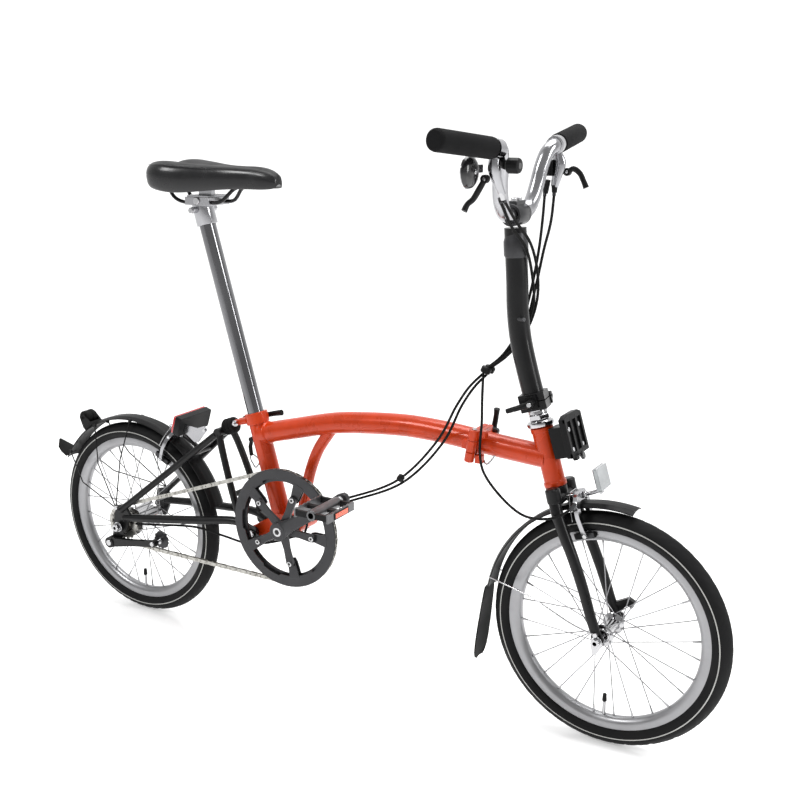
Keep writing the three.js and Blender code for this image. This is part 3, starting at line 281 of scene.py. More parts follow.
def bored(mesh, bore):
    """The mesh with the bore cut out of it, as one skin."""
    body = add_object("bored_body", mesh)
    tool = add_object("bore_tool", mesh_of("bore_tool", bore))
    cut = body.modifiers.new("bore", "BOOLEAN")
    cut.operation, cut.object, cut.solver, cut.use_self = "DIFFERENCE", tool, "EXACT", True
    result = bpy.data.meshes.new_from_object(body.evaluated_get(bpy.context.evaluated_depsgraph_get()))
    spare = tool.data
    bpy.data.objects.remove(body)
    bpy.data.objects.remove(tool)
    bpy.data.meshes.remove(spare)
    return result


def build(name, body, shape, materials, replaces=(), bevel=0.0, sharp=38, subsurf=0, blend=None,
        bore=None):
    mesh = mesh_of(name, shape)
    for m in materials:
        mesh.materials.append(m)
    if bore:
        mesh = bored(mesh, bore)
    mesh.shade_smooth()
    mesh.set_sharp_from_angle(angle=math.radians(sharp))
    piece = add_object(name, mesh)
    if bevel:
        mod = piece.modifiers.new("edges", "BEVEL")
        mod.width = bevel / 1000
        mod.segments = 2
        mod.limit_method = "ANGLE"
        mod.angle_limit = math.radians(40)
    if subsurf:
        mod = piece.modifiers.new("smooth", "SUBSURF")
        mod.levels = mod.render_levels = subsurf
    if blend:
        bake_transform(piece)
    else:
        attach(piece, body)
    if replaces:
        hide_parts(*replaces)
    return piece


# ---- materials
def set_inputs(node, **values):
    for key, value in values.items():
        node.inputs[key.replace("_", " ")].default_value = value


def material(name, color, rough, metal=0.0, grain=0.0, grain_size=400.0, wear=0.08, dark=0.75, coat=0.0,
        stretch=(1, 1, 1), cells=0.0, cell_size=900.0, gloss=0.5):
    m = bpy.data.materials.new(name)
    m.use_nodes = True
    nodes, links = m.node_tree.nodes, m.node_tree.links
    shader = nodes["Principled BSDF"]
    set_inputs(shader, Metallic=metal, Coat_Weight=coat, Coat_Roughness=0.06, Specular_IOR_Level=gloss)
    place = nodes.new("ShaderNodeTexCoord")
    scale = nodes.new("ShaderNodeMapping")
    set_inputs(scale, Scale=stretch)
    links.new(place.outputs["Object"], scale.inputs["Vector"])
    broad = nodes.new("ShaderNodeTexNoise")
    set_inputs(broad, Scale=22, Detail=6)
    links.new(scale.outputs["Vector"], broad.inputs["Vector"])
    tone = nodes.new("ShaderNodeValToRGB")
    low, high = tone.color_ramp.elements
    low.position, high.position = 0.35, 0.65
    low.color, high.color = (*[c * dark for c in color], 1), (*color, 1)
    links.new(broad.outputs["Fac"], tone.inputs["Fac"])
    links.new(tone.outputs["Color"], shader.inputs["Base Color"])
    spread = nodes.new("ShaderNodeMapRange")
    set_inputs(spread, From_Min=0.3, From_Max=0.7, To_Min=max(0.02, rough - wear),
        To_Max=min(1.0, rough + wear))
    links.new(broad.outputs["Fac"], spread.inputs["Value"])
    links.new(spread.outputs["Result"], shader.inputs["Roughness"])
    if cells or grain:
        if cells:
            fine = nodes.new("ShaderNodeTexVoronoi")
            set_inputs(fine, Scale=cell_size)
            height = fine.outputs["Distance"]
        else:
            fine = nodes.new("ShaderNodeTexNoise")
            set_inputs(fine, Scale=grain_size, Detail=3)
            height = fine.outputs["Fac"]
        links.new(scale.outputs["Vector"], fine.inputs["Vector"])
        bump = nodes.new("ShaderNodeBump")
        set_inputs(bump, Strength=max(cells, grain), Distance=0.0004)
        links.new(height, bump.inputs["Height"])
        links.new(bump.outputs["Normal"], shader.inputs["Normal"])
    return m


ORANGE = material("enamel_orange", (0.57, 0.043, 0.003), 0.3, 0.1, grain=0.05, grain_size=1500, dark=0.8,
    coat=0.3, gloss=0.25)
BLACK = material("enamel_black", (0.007, 0.007, 0.0075), 0.33, 0.0, grain=0.12, grain_size=900, coat=0.12,
    gloss=0.2)
PLASTIC = material("plastic_black", (0.009, 0.009, 0.0095), 0.42, 0.0, grain=0.25, grain_size=1100, gloss=0.14)
GLOSS = material("plastic_gloss_black", (0.01, 0.01, 0.011), 0.2, 0.0, grain=0.06, coat=0.4)
TYRE = material("tyre_rubber", (0.009, 0.009, 0.0095), 0.62, 0.0, grain=0.5, grain_size=700, wear=0.12,
    gloss=0.14)
RUBBER = material("soft_rubber", (0.008, 0.008, 0.008), 0.7, 0.0, grain=0.4, grain_size=900, gloss=0.14)
FOAM = material("foam_black", (0.007, 0.007, 0.0075), 0.85, 0.0, grain=0.7, grain_size=1600, gloss=0.14)
BAND = material("reflective_band", (0.5, 0.5, 0.48), 0.4, 0.3, cells=0.3)
LEATHER = material("saddle_cover", (0.009, 0.009, 0.0095), 0.5, 0.0, cells=0.35, cell_size=1300, wear=0.1,
    gloss=0.3)
LEATHER_SIDE = material("saddle_side", (0.01, 0.01, 0.011), 0.24, 0.0, grain=0.12)
THREAD = material("thread", (0.05, 0.05, 0.05), 0.7, 0.0, grain=0.4)
ALLOY = material("alloy_polished", (0.42, 0.42, 0.435), 0.2, 1.0, grain=0.06, grain_size=600, dark=0.86)
RIM = material("alloy_rim", (0.34, 0.34, 0.35), 0.36, 1.0, grain=0.12, grain_size=500, dark=0.85)
STEEL = material("steel_plated", (0.52, 0.52, 0.53), 0.12, 1.0, grain=0.03, dark=0.9)
POST = material("post_satin", (0.24, 0.24, 0.25), 0.14, 1.0, grain=0.05, grain_size=500, stretch=(1, 1, 0.05))
SPOKE = material("spoke_steel", (0.3, 0.3, 0.31), 0.3, 1.0, wear=0.06)
GREY = material("alloy_grey", (0.05, 0.05, 0.053), 0.36, 0.7, grain=0.2, grain_size=900)
CAGE = material("cage_grey", (0.17, 0.17, 0.175), 0.36, 0.9, grain=0.2, grain_size=900)
CHAIN = material("chain_steel", (0.48, 0.47, 0.44), 0.3, 1.0, grain=0.1, wear=0.1, dark=0.7)
RED = material("red_lens", (0.55, 0.01, 0.012), 0.12, 0.0, cells=0.9, cell_size=520, coat=0.6)
AMBER = material("amber_lens", (0.9, 0.09, 0.008), 0.15, 0.0, cells=0.9, cell_size=520, coat=0.6)
CLEAR = material("clear_lens", (0.36, 0.38, 0.39), 0.08, 0.35, cells=0.9, cell_size=420, coat=0.8)
# painted shade: a near-black finish standing in for the shade inside bolt sockets, pedal spindle ends and the
# recesses round the pedal reflectors
RECESS_SHADE = material("painted_recess_shade", (0.006, 0.006, 0.006), 0.6, 0.0, grain=0.1)

# ---- main frame, rear half
shape = Shape()
shape.pipe([(-196, 0, 442), (-146, 0, 456), (-98, 0, 469), (-52, 0, 481.5), (-10, 0, 491), (40, 0, 498),
    (92, 0, 503.5), (140, 0, 506.5), (190, 0, 506), (236, 0, 503.5), (271, 0, 500.4)], 20, sides=40)
shape.rod(seat_at(-8), seat_at(225), 18.5, edge=0.5, sides=44)
shape.pipe([(-28, 0, 478), (-42, 0, 460), (-62, 0, 430), (-79, 0, 390), (-90, 0, 350), (-100, 0, 300)], 11,
    sides=28)
shape.pin(bb, -30, 30, 20.5, edge=0.5, sides=44)
lug = [(-203, 257), (-150, 292), (-118, 292), (-105, 272), (-148, 252), (-203, 233)]
shape.side_plate(lug, -20, -12).side_plate(lug, 12, 20)
shape.pin(REAR_PIVOT, -20, 20, 12, edge=1)
shape.block((-138, 0, 284), (40, 24, 20))
hinge_face = [(-24, -25), (24, -25), (24, -14), (31, -9), (31, 9), (24, 14), (24, 25), (-24, 25)]
shape.plate(hinge_face, hinge_at(32.5, 0, -4.6), ACROSS, HINGE, 7)
shape.rod(hinge_at(22.3), hinge_at(42.7), 8.5, edge=0.8)
shape.block((266, -27, 500), (14, 12, 14.5))
for spot, toward, r in [((271, 0, 500.4), (-1, 0, 0.05), 20.4), ((-176, 0, 447.5), (-1, 0, -0.28), 20.4)]:
    shape.turn([(r - 1, -3), (r + 1.6, -1), (r + 2.2, 1), (r - 1, 3), (r - 1, -3)], spot, toward, 0, 40)
bores = Shape().rod(seat_at(-90), seat_at(300), 16.5, sides=48)
bores.pin(bb, -40, 40, 17.6, sides=48)
build("frame_tubes_rear", "main_frame", shape, [ORANGE], ["main_frame_rear_half"], bevel=0.6,
    bore=bores)

shape = Shape()
shape.pipe([(284, 0, 499.3), (320, 0, 496.6), (360, 0, 494), (403, 0, 491.5)], 20, sides=40)
head_low = Vector((419.4, 0, 445))
head_len = (steer_at(0) - head_low).length
shape.turn([(14.7, 0), (19.4, 0), (19.4, 7), (17.9, 8.6), (17.9, head_len - 8.6), (19.4, head_len - 7),
    (19.4, head_len), (14.7, head_len), (14.7, 0)], head_low, STEER, 0, 44)
shape.plate(hinge_face, hinge_at(32.5, 0, 4.6), ACROSS, HINGE, 7)
shape.rod(hinge_at(4), hinge_at(21.7), 8.5, edge=0.8).rod(hinge_at(43.3), hinge_at(62), 8.5, edge=0.8)
shape.block((290, -27, 477), (13, 12, 14)).block((296, -27, 522), (13, 12, 12))
shape.rod(hinge_at(2), hinge_at(64), 3.9, slot=1)
shape.pipe([(312, -13, 483), (302, -24, 468), (292, -20, 478)], 1.7, slot=1, sides=12)
shape.turn([(19.4, -3), (22, -1), (22.4, 1), (19.4, 3)], (286, 0, 499.2), (1, 0, -0.05), 0, 40)
build("frame_tubes_front", "front_frame", shape, [ORANGE, STEEL], ["main_frame_front_half"],
    bevel=0.8)

# ---- headset, fork and what turns with it
shape = Shape()
shape.turn([(14.7, 0.3), (19, 0.3), (22.6, 3), (23.4, 6), (23, 9), (20, 11), (19.4, 12.6), (14.7, 12.6),
    (14.7, 0.3)], steer_at(0), STEER, 0, 48)
build("headset_cup", "front_frame", shape, [STEEL], ["headset_upper_cup"])
shape = Shape()
shape.hexagon(steer_at(13), STEER, 18.5, 11)
shape.turn([(13.6, 11), (16.6, 11), (16, 16), (13.6, 16.4)], steer_at(13), STEER, 0, 40)
build("headset_nut", "fork", shape, [STEEL], ["headset_locknut"], bevel=0.6)

blade_line = [(429, 436), (437, 413), (452, 380), (470, 343), (492, 290), (509, 242), (519, 216)]
spread = [31, 36, 40, 42, 44, 46, 46]
crown = lambda t: head_low - STEER * t
shape = Shape()
shape.rod(crown(0.5), crown(24), 18.6, 17, edge=1.2, sides=40)
shape.rod(crown(10), steer_at(29), 12.9, slot=1)
shape.pin((431, 0, 428), -38, 38, 11, edge=3)
for side in (-1, 1):
    shape.rod((426, side * 33, 450), (433, side * 33, 424), 12.5, edge=3)
    shape.pipe([(x, side * y, z) for (x, z), y in zip(blade_line, spread)], [10.4, 10.4, 10, 9.6, 9.2, 8.8,
        8.4], sides=28)
    shape.side_plate([(510, 222), (526, 222), (533, 208), (528, 198), (516, 198), (511, 208)], side * 43,
        side * 49)
shape.side_plate([(514, 236), (540, 250), (552, 244), (548, 232), (538, 236), (528, 222), (512, 220)], 44, 55)
build("fork_blades", "fork", shape, [BLACK, STEEL], ["fork"], bevel=0.9)

skew = math.radians(12)
stem_axis = AHEAD * math.cos(skew) + ACROSS * math.sin(skew)
stem_out = -AHEAD * math.sin(skew) + ACROSS * math.cos(skew)


def stem_point(along, out, up):
    return steer_at(46 + up) + stem_axis * along + stem_out * out


def joint_block(shape, low, high):
    shape.plate([(-22, -21), (22, -21), (22, 17), (14, 24), (-14, 24), (-22, 17)],
        stem_point(0, 0, (low + high) / 2), stem_axis, stem_out, high - low)


shape = Shape()
joint_block(shape, -15, -0.7)
shape.rod(stem_point(-24, 27, 0), stem_point(-8.3, 27, 0), 7, edge=0.8)
shape.rod(stem_point(8.3, 27, 0), stem_point(24, 27, 0), 7, edge=0.8)
shape.rod(stem_point(-26, 27, 0), stem_point(26, 27, 0), 2.9, slot=1)
for a, b in ((-24, -8.3), (8.3, 24)):
    shape.plate(rect(a, -13, b, -2), stem_point(0, 22, 0), stem_axis, STEER, 8)
shape.rod(stem_point(0, 0, -17), stem_point(0, 0, -14), 17, edge=0.6, slot=1)
build("stem_joint_lower", "fork", shape, [BLACK, STEEL], ["stem_joint_base"], bevel=0.8)

shape = Shape()
shape.plate(rect(-9, -11, 9, 11), stem_point(0, -25.2, 0), stem_axis, STEER, 7)
shape.rod(stem_point(0, -26, 0), stem_point(0, -45, 0), 7, 6.4, edge=1.5)
shape.pipe([stem_point(0, -41, 0), stem_point(-16, -44, -1), stem_point(-40, -42, -3)], [5.4, 4.8, 4.2],
    sides=20)
shape.hexagon(stem_point(0, -45, 0), -stem_out, 4.2, 2.4, slot=1)
build("stem_clamp_lever", "fork", shape, [PLASTIC, STEEL], ["stem_joint_lever"], bevel=1.0)

# ---- stem and bar
shape = Shape()
joint_block(shape, 0.7, 14)
shape.rod(stem_point(-7.7, 27, 0), stem_point(7.7, 27, 0), 7, edge=0.6)
shape.pipe([steer_at(56), steer_at(100), (347.5, 0, 687), (341, 0, 733), (338.5, 0, 780), (335, 0, 830),
    (332.4, 0, 868)], 18.2, sides=40)
shape.turn([(18.1, -16), (20.2, -12), (20.2, 10), (18.4, 16), (18.1, 24)], (334.6, 0, 836), (-0.06, 0, 1), 1,
    44)
shape.turn([(13.2, -22), (17.4, -22), (18, -21), (18, 21), (17.4, 22), (13.2, 22), (13.2, -22)], BAR, ACROSS,
    1, 44)
shape.block(BAR + Vector((0, 0, 16)), (17, 34, 12), slot=1)
for y in (-9, 9):
    shape.rod(BAR + Vector((0, y, 21)), BAR + Vector((0, y, 27)), 5.2, edge=0.8, slot=2)
    # a thin near-black disc on each bolt head is painted shade for its socket
    shape.rod(BAR + Vector((0, y, 25)), BAR + Vector((0, y, 27.3)), 2.4, slot=3)
shape.pipe([(349, -13, 722), (357, -17, 722), (361, -19, 723)], [4.4, 4, 3.6], slot=1, sides=16)
build("stem_tube", "stem", shape, [BLACK, GREY, STEEL, RECESS_SHADE], ["stem"], bevel=0.9)


def grip_at(t, side):
    p = GRIP_IN + (GRIP_OUT - GRIP_IN) * t
    return Vector((p.x, p.y * side, p.z))


shape = Shape()
bar_half = [(333, 22, 889), (333.4, 44, 894), (334.5, 59, 909), (337, 70, 933), (341, 78, 962), (346, 88, 984)]
line = [Vector((x, -y, z)) for x, y, z in reversed(bar_half)] + [Vector(p) for p in bar_half]
line = [grip_at(0.9, -1), grip_at(0.2, -1), grip_at(-0.16, -1)] + line + [grip_at(-0.16, 1), grip_at(0.2, 1),
    grip_at(0.9, 1)]
shape.pipe(line, [11.1, 11.1, 12.1] + [12.5] * 12 + [12.1, 11.1, 11.1], sides=36, step=3)
for side in (-1, 1):
    a, b = grip_at(-0.15, side), grip_at(-0.03, side)
    shape.turn([(11.5, 0), (15.4, 0.6), (15.4, (b - a).length - 0.6), (11.5, (b - a).length)], a, b - a, 0, 32)
build("bar_tube", "stem", shape, [ALLOY], ["handlebar"])

shape = Shape()
shape.pipe([(347, -113, 986), (346, -112, 965), (350, -104, 942), (354, -97, 927)], [8, 10.5, 8, 6], sides=20,
    flat=0.75)
shape.pipe([(350, 114, 986), (357, 115, 967), (354, 113, 945), (351, 112, 927)], [8, 12, 9.5, 6.5], sides=20,
    flat=0.7)
shape.rod((353, -99, 932), (354.5, -95, 919), 5.4, 4.4, edge=0.6, slot=1)
shape.rod((351, 112, 930), (351, 112, 917), 5.4, 4.4, edge=0.6, slot=2)
shape.rod((337, 113, 938), (334, 114, 915), 6, 4.4, edge=0.6, slot=2)
shape.rod((343, -90, 976), (361, -101, 971), 7, edge=0.8, slot=2)
shape.block((342, 113, 958), (14, 22, 26), slot=2)
for p, axis in (((356, -113, 986), (1, -0.2, 0)), ((360, 112, 986), (1, 0.1, 0)), ((354, -113, 964),
        (1, -0.6, 0)), ((364, 113, 966), (1, -0.4, 0))):
    shape.hexagon(Vector(p) - Vector(axis).normalized() * 3, axis, 3.6, 5, slot=1)
build("lever_bodies", "stem", shape, [ALLOY, STEEL, PLASTIC], bevel=0.8)

shape = Shape()
for side in (-1, 1):
    a, b = grip_at(0, side), grip_at(1, side)
    n = (b - a).length
    prof = [(11.6, 0), (15.4, 0), (16.6, 0.8), (16.8, 2.5), (16.8, n - 7), (16.0, n - 3), (13.6, n - 0.8),
        (0, n - 0.2)]
    shape.turn(prof, a, b - a, 0, 48)
build("foam_grips", "stem", shape, [FOAM], ["grip_right", "grip_left"])

for name, pts, axle, side in (("brake_lever_right", [(335, -119, 951), (326, -121, 935), (317, -123, 920),
        (311, -129, 913), (308, -134, 903)], (335, -119, 951), -1), ("brake_lever_left",
        [(366, 129, 950), (374, 135, 956), (384, 139, 949), (391, 140.5, 936), (396, 141, 925)],
        (366, 129.5, 951), 1),):
    shape = Shape()
    shape.pipe(pts, [4.2, 4.6, 4.4, 4.2, 4.8], sides=18, step=3, flat=1.3)
    a = Vector(axle)
    shape.pin(a, -5, 5, 6.6, edge=1)
    shape.pin(a, -5.6, 5.6, 2.6, slot=1, edge=0.4)
    build(name + "_blade", name, shape, [PLASTIC, STEEL], [name])

shape = Shape()
shape.turn([(0, 0), (10, 0), (12, 2), (12, 17), (10.8, 19.6), (7, 20.6), (0, 20.6)], (364, -101.4, 971),
    (1, -0.05, 0), 0, 36, wobble=lambda i, j: -0.7 if i in (2, 3) and j % 3 == 0 else 0)
shape.turn([(0, 0), (5, 0), (4.6, 1), (0, 1)], (384, -102.4, 971), (1, -0.05, 0), 1, 24)
build("shifter_dial", "shifter_knob", shape, [PLASTIC, GLOSS], ["shifter_knob"])

shape = Shape()
shape.turn([(0, 0), (24, 0), (25, 1), (25, 4), (23.6, 7.5), (19, 11), (12, 13.2), (0, 14)], BELL, (1, 0, 0), 0,
    48)
shape.turn([(25.3, 1.2), (25.8, 1.8), (25.3, 2.4)], BELL, (1, 0, 0), 1, 48)
shape.rod((328, -141, 962), (331.5, -141, 962), 3.6, edge=0.8, slot=1)
shape.block((322, -118, 966), (10, 16, 12))
build("bell_dome", "stem", shape, [GLOSS, STEEL], ["bell"], bevel=0.4)


# ---- wheels
def wheel(which, axle, body, flange_y, flange_r, barrel_r, tyre, rim, hub):
    centre = (axle[0], 0, axle[1])
    half = [(208, 0), (207.6, 3), (206.6, 6), (204.8, 9), (202.2, 12), (199, 14.8), (195.4, 16.8),
        (192.4, 17.8), (190.6, 18.1), (187, 18.2), (182, 16.6), (178.4, 13.4), (176.9, 11)]
    prof = mirrored([(r, -y) for r, y in reversed(half)])
    count = len(half) - 1

    def groove(i, j):
        d = abs(i - count)
        if d in (2, 3, 4) and (j + (0 if i > count else 2) + d) % 4 == 0:
            return -1.3
        return -0.9 if d == 1 and j % 8 == 0 else 0
    bands = [int(abs(i + 0.5 - count) == 7.5) for i in range(2 * count)]
    shape = Shape()
    shape.turn(prof, centre, ACROSS, bands, 220, groove)
    shape.turn([(176.9, -11), (176.4, -4), (176.4, 4), (176.9, 11)], centre, ACROSS, 0, 120)
    build(which + "_tyre_tread", body, shape, [TYRE, BAND], [tyre], sharp=50)

    shape = Shape()
    prof = mirrored([(176.2, -11.2), (177, -11.8), (175.6, -12), (169, -11.9), (165.4, -11.4), (161, -8.6),
        (158.2, -5), (157.2, 0)])
    shape.turn(prof + [(170, 0), (176.2, -11.2)], centre, ACROSS, 0, 160)
    valve_at = on_wheel(axle, 160, -90)
    shape.rod(valve_at, valve_at + Vector((0, 0, 26)), 3.2, 2.8, slot=1, edge=0.6)
    shape.rod(valve_at + Vector((0, 0, 26)), valve_at + Vector((0, 0, 40)), 4.1, 3.4, slot=2, edge=1)
    build(which + "_rim_ring", body, shape, [RIM, STEEL, PLASTIC], [rim], sharp=30)

    shape = Shape()
    f, r = flange_y, flange_r
    prof = mirrored([(5.2, -f - 5), (11, -f - 5), (12, -f - 4), (13, -f - 2.2), (r - 1, -f - 1.6),
        (r, -f - 0.8), (r, -f + 0.8), (r - 1, -f + 1.6), (barrel_r + 1, -f + 4), (barrel_r, -f + 8),
        (barrel_r - 1.5, 0)])
    shape.turn(prof, centre, ACROSS, 0, 56)
    for i in range(SPOKES):
        side = 1 if i % 2 else -1
        turn = 1 if (i // 2) % 2 else -1
        a = 360 * (i + 0.5) / SPOKES
        foot = on_wheel(axle, r - 2.8, a + math.degrees(turn * 0.75), side * f + side * turn * 1.5)
        end = on_wheel(axle, 157.6, a, side * 2)
        shape.rod(foot, end, 0.95, slot=1, sides=8)
        inner = end + (foot - end).normalized() * 13
        shape.rod(end, inner, 1.9, 1.5, slot=2, sides=8)
        shape.pin(foot, -2, 2, 1.7, slot=1, sides=10)
    build(which + "_hub_spokes", body, shape, [STEEL, SPOKE, STEEL], [hub], sharp=35)


wheel("front", FRONT, "front_wheel", 27, 19, 11, "front_tyre", "front_rim", "front_hub_and_spokes")
wheel("rear", REAR, "rear_wheel", 29, 31, 26, "rear_tyre", "rear_rim", "rear_hub_and_spokes")

for name, axle, body, node, reach, nut, r in (("front_axle_nuts", FRONT, "fork", "front_axle", 64, 7, 8),
        ("rear_axle_nuts", REAR, "rear_frame", "rear_axle", 82, 9, 9),):
    shape = Shape()
    c = Vector((axle[0], 0, axle[1]))
    shape.pin(c, -reach, reach, 4.6, slot=0, edge=0.6)
    for side in (-1, 1):
        end = c + ACROSS * side * reach
        shape.hexagon(end, -ACROSS * side, r, nut)
        shape.turn([(4.8, 0), (r + 1.6, 0), (r + 1.6, 1.4), (4.8, 1.4)],
            c + ACROSS * side * (reach - nut - 1.6), ACROSS * side, 0, 32)
    if body == "fork":
        shape.side_plate([(c.x + a, c.z + b) for a, b in [(-8, 6), (8, 6), (10, -4), (1, -22), (-6, -24),
            (-10, -4)]], -57.2, -55.2)
    build(name, body, shape, [STEEL], [node], bevel=0.5)


# ---- mudguards
def guard(shape, axle, start, end):
    """A thin curved mudguard with two ridges, from one angle round the wheel to another."""
    rings = []
    for s in range(61):
        a = start + (end - start) * s / 60
        row = []
        for sign, lift in ((1, 0), (-1, -1.9)):
            order = range(-8, 9) if sign > 0 else range(8, -9, -1)
            for k in order:
                w = k / 8 * 0.95
                y = 24 * math.sin(w)
                r = 224 + 11 * math.cos(w) - 11 + lift
                ridge = 0.9 * math.exp(-((abs(k) - 4) ** 2)) if sign > 0 else 0
                row.append(on_wheel(axle, r + ridge, a, y))
        rings.append(row)
    shape.rings(rings)


shape = Shape()
guard(shape, FRONT, 80, 172)
for side in (-1, 1):
    shape.pipe([(521, side * 57.4, 220), (480, side * 55, 229), (400, side * 40, 252), (324, side * 25, 262),
        (308.5, side * 17, 261)], 1.4, slot=1, sides=10)
    shape.pin((521, 0, 220), side * 55.5, side * 59, 4, slot=1, edge=0.5)
build("front_guard_skin", "fork", shape, [PLASTIC, STEEL], ["front_mudguard"], sharp=45)

shape = Shape()
flap_x = on_wheel(FRONT, 225, 171).x + 1
rings = []
for z, w in [(240, 18), (225, 21), (200, 23), (175, 25), (150, 26), (130, 26), (112, 24), (101, 19), (96, 12)]:
    x = flap_x - (240 - z) * 0.12 - 1.5
    rings.append([(x - 2.2 + 2 * (k / 6) ** 2, w * k / 6, z) for k in range(-6, 7)] + [(x + 2 * (k / 6) ** 2,
        w * k / 6, z) for k in range(6, -7, -1)])
shape.rings(rings)
build("front_flap", "fork", shape, [RUBBER], ["front_mudflap"], sharp=50)

roller_spot = on_wheel(REAR, 246, 124.5)
along, out_dir = Vector((0.824, 0, 0.566)), Vector((-0.566, 0, 0.824))
shape = Shape()
guard(shape, REAR, 17, 151)
tail = on_wheel(REAR, 225, 150.2)
rings = []
for x, z, w in [(tail.x + 7, tail.z + 4.5, 13), (tail.x, tail.z - 2.4, 20), (tail.x - 12, tail.z + 7, 22),
        (tail.x - 26, tail.z + 14, 16), (-755.2, tail.z + 24, 3)]:
    rings.append([(x, -w, z), (x, w, z), (x, w * 0.8, z + 3), (x, -w * 0.8, z + 3)])
shape.rings(rings, slot=2)
for side in (-1, 1):
    eye = Vector((-521, side * 76.8, 252))
    shape.pin(eye, -2, 2, 4.6, edge=0.5, slot=1)
    for angle, bend in ((146, 150), (118, 121), (90, 93)):
        mid = on_wheel(REAR, 140, bend, side * 46)
        end = on_wheel(REAR, 217.6, angle, side * 19)
        shape.pipe([eye, eye.lerp(mid, 0.9), mid, mid.lerp(end, 0.12), end], 1.3, slot=3, sides=8)
        shape.block(end, (7, 3, 7), slot=0)
    shape.plate([(-11, -19.5), (13, -19.5), (7, 5), (-6, 5)], roller_spot + ACROSS * side * 16, along, out_dir,
        4)
shape.plate(rect(-11, -24, 13, -16), roller_spot, along, out_dir, 34)
build("rear_guard_skin", "rear_frame", shape, [PLASTIC, STEEL, RUBBER, BLACK], ["rear_mudguard"],
    sharp=45)
shape = Shape()
shape.turn([(0, -20), (2.9, -20), (2.9, -13.5), (12, -13.5), (14, -11), (14, -3), (13, -2), (13, 2), (14, 3),
    (14, 11), (12, 13.5), (2.9, 13.5), (2.9, 20), (0, 20)], roller_spot, ACROSS, 0, 40)
build("roller_wheel", "parking_roller", shape, [RUBBER], ["parking_roller"])

# ---- rear frame
shape = Shape()
for side in (-1, 1):
    shape.pipe([(-512, side * 63, 228), (-440, side * 59, 238), (-330, side * 46, 252), (-236, side * 31, 262),
        (-212, side * 29.5, 252)], [7.6, 8.5, 8.5, 8.5, 8.5], sides=24)
    shape.rod((-518, side * 67, 244), (-292, side * 21, 431), 6.8, sides=24)
    shape.pipe([(-288, side * 15, 440), (-281, side * 22, 424), (-252, side * 32, 340),
        (-228, side * 33, 262)], 7, sides=24)
    shape.side_plate([(-203, 258), (-191, 252), (-190, 238), (-203, 232), (-232, 246), (-236, 268)], side * 25,
        side * 34)
    shape.side_plate([(-541, 214), (-532, 252), (-508, 258), (-494, 238), (-500, 222), (-512, 194),
        (-534, 192)], side * 60, side * 66)
    shape.pin(REAR_PIVOT, side * 20.4, side * 34, 11, edge=0.8)
    shape.pin(REAR_PIVOT, side * 33, side * 36.5, 7.5, edge=0.8, slot=1)
shape.pin((-286, 0, 435), -26, 26, 9.5, edge=1)
shape.pin((-352, 0, 383), -34, 34, 6).pin((-246, 0, 316), -34, 34, 5.5)
shape.pipe([(-352, 0, 383), (-372, 0, 398), (-394, 0, 409)], 5, sides=18)
shape.side_plate([(-550, 164), (-536, 161), (-512, 192), (-520, 206), (-541, 206)], -66.4, -62)
build("rear_stays", "rear_frame", shape, [BLACK, STEEL], ["rear_frame"], bevel=0.8)

shape = Shape()
block_dir = Vector((-0.935, 0, -0.355))
shape.turn([(0, 0), (12, 0), (15, 2.5), (16.5, 6), (15.4, 8.4), (13.5, 10), (15.4, 12), (16.5, 15), (15.4, 17),
    (13.5, 19), (15.4, 21), (16.5, 24), (15, 26.6), (13, 29), (0, 29)], (-256.5, 0, 452), block_dir, 0, 48)
build("suspension_rubber", "rear_frame", shape, [RUBBER], ["suspension_block"], sharp=60)

shape = Shape()
tilt = Vector((0.30, 0, 0.954))
for offset, size, s in ((-9, 0, 1), (0.5, 1, 0)):
    o = Vector((-371, 0, 441)) + Vector((0.954, 0, -0.30)) * offset
    x, low, high = 44 + size, -18 - size, 19 + size
    shape.plate([(-x, low), (x, low), (x + 2, -15), (x + 2, 16), (x, high), (-x, high), (-x - 2, 16),
        (-x - 2, -15)], o, ACROSS, tilt, 14 if s == 0 else 5, s)
shape.side_plate([(-366, 428), (-362, 444), (-330, 441), (-314, 447), (-306, 440), (-316, 428), (-330, 412),
    (-340, 410)], -31, -28, 2)
shape.pin((-313, 0, 439), -33.5, -27, 4, edge=0.6, slot=3)
build("rear_reflector_lens", "rear_frame", shape, [PLASTIC, RED, ALLOY, STEEL], ["rear_reflector"],
    bevel=1.0)


# ---- rim brakes
def brake_set(prefix, origin, out, up, bodies, spare_body):
    for side, body, offset in ((-1, bodies[0], 4.1), (1, bodies[1], -4.1)):
        spot = lambda a, b, c: origin + ACROSS * (side * a) + up * b + out * c
        outline = [(-7, 6), (10, 9), (26, 5), (37, -8), (38.5, -30), (33, -52), (26.5, -66), (20.5, -66),
            (20.5, -54), (27, -30), (26, -14), (18, -6), (-7, -7)]
        shape = Shape()
        shape.plate(outline, spot(0, 0, offset), ACROSS * side, up, 7.4)
        shape.plate(rect(-19, -4.2, 19, 4.2), spot(15.4, -65.5, 0), out, up, 4.2, 1)
        shape.plate(rect(-17, -4.8, 17, 4.8), spot(18.4, -65.5, 0), out, up, 2.4, 2)
        shape.rod(spot(18, -63.5, offset), spot(27.5, -63.5, offset), 3.2, edge=0.4, slot=3)
        shape.hexagon(spot(27, -63.5, offset), ACROSS * side, 4.2, 3, 3)
        build(body + "_casting", body, shape, [ALLOY, RUBBER, GREY, STEEL], [body], bevel=0.9)
    shape = Shape()
    spot = lambda c, y=0.0, b=0.0: origin + out * c + ACROSS * y + up * b
    shape.rod(spot(-22), spot(13), 2.9)
    shape.hexagon(spot(8.6), out, 6.4, 5)
    shape.rod(spot(-22), spot(-8.6), 6.5, edge=0.8)
    for k in (1, -1):
        shape.pipe([spot(-9.4, 0, 9), spot(-9.6, 14 * k, 8), spot(-9.6, 26 * k, -10), spot(-9.4, 31 * k, -36)],
            1.1, sides=8)
    build(prefix + "_bolt_and_spring", spare_body, shape, [STEEL], bevel=0.4)


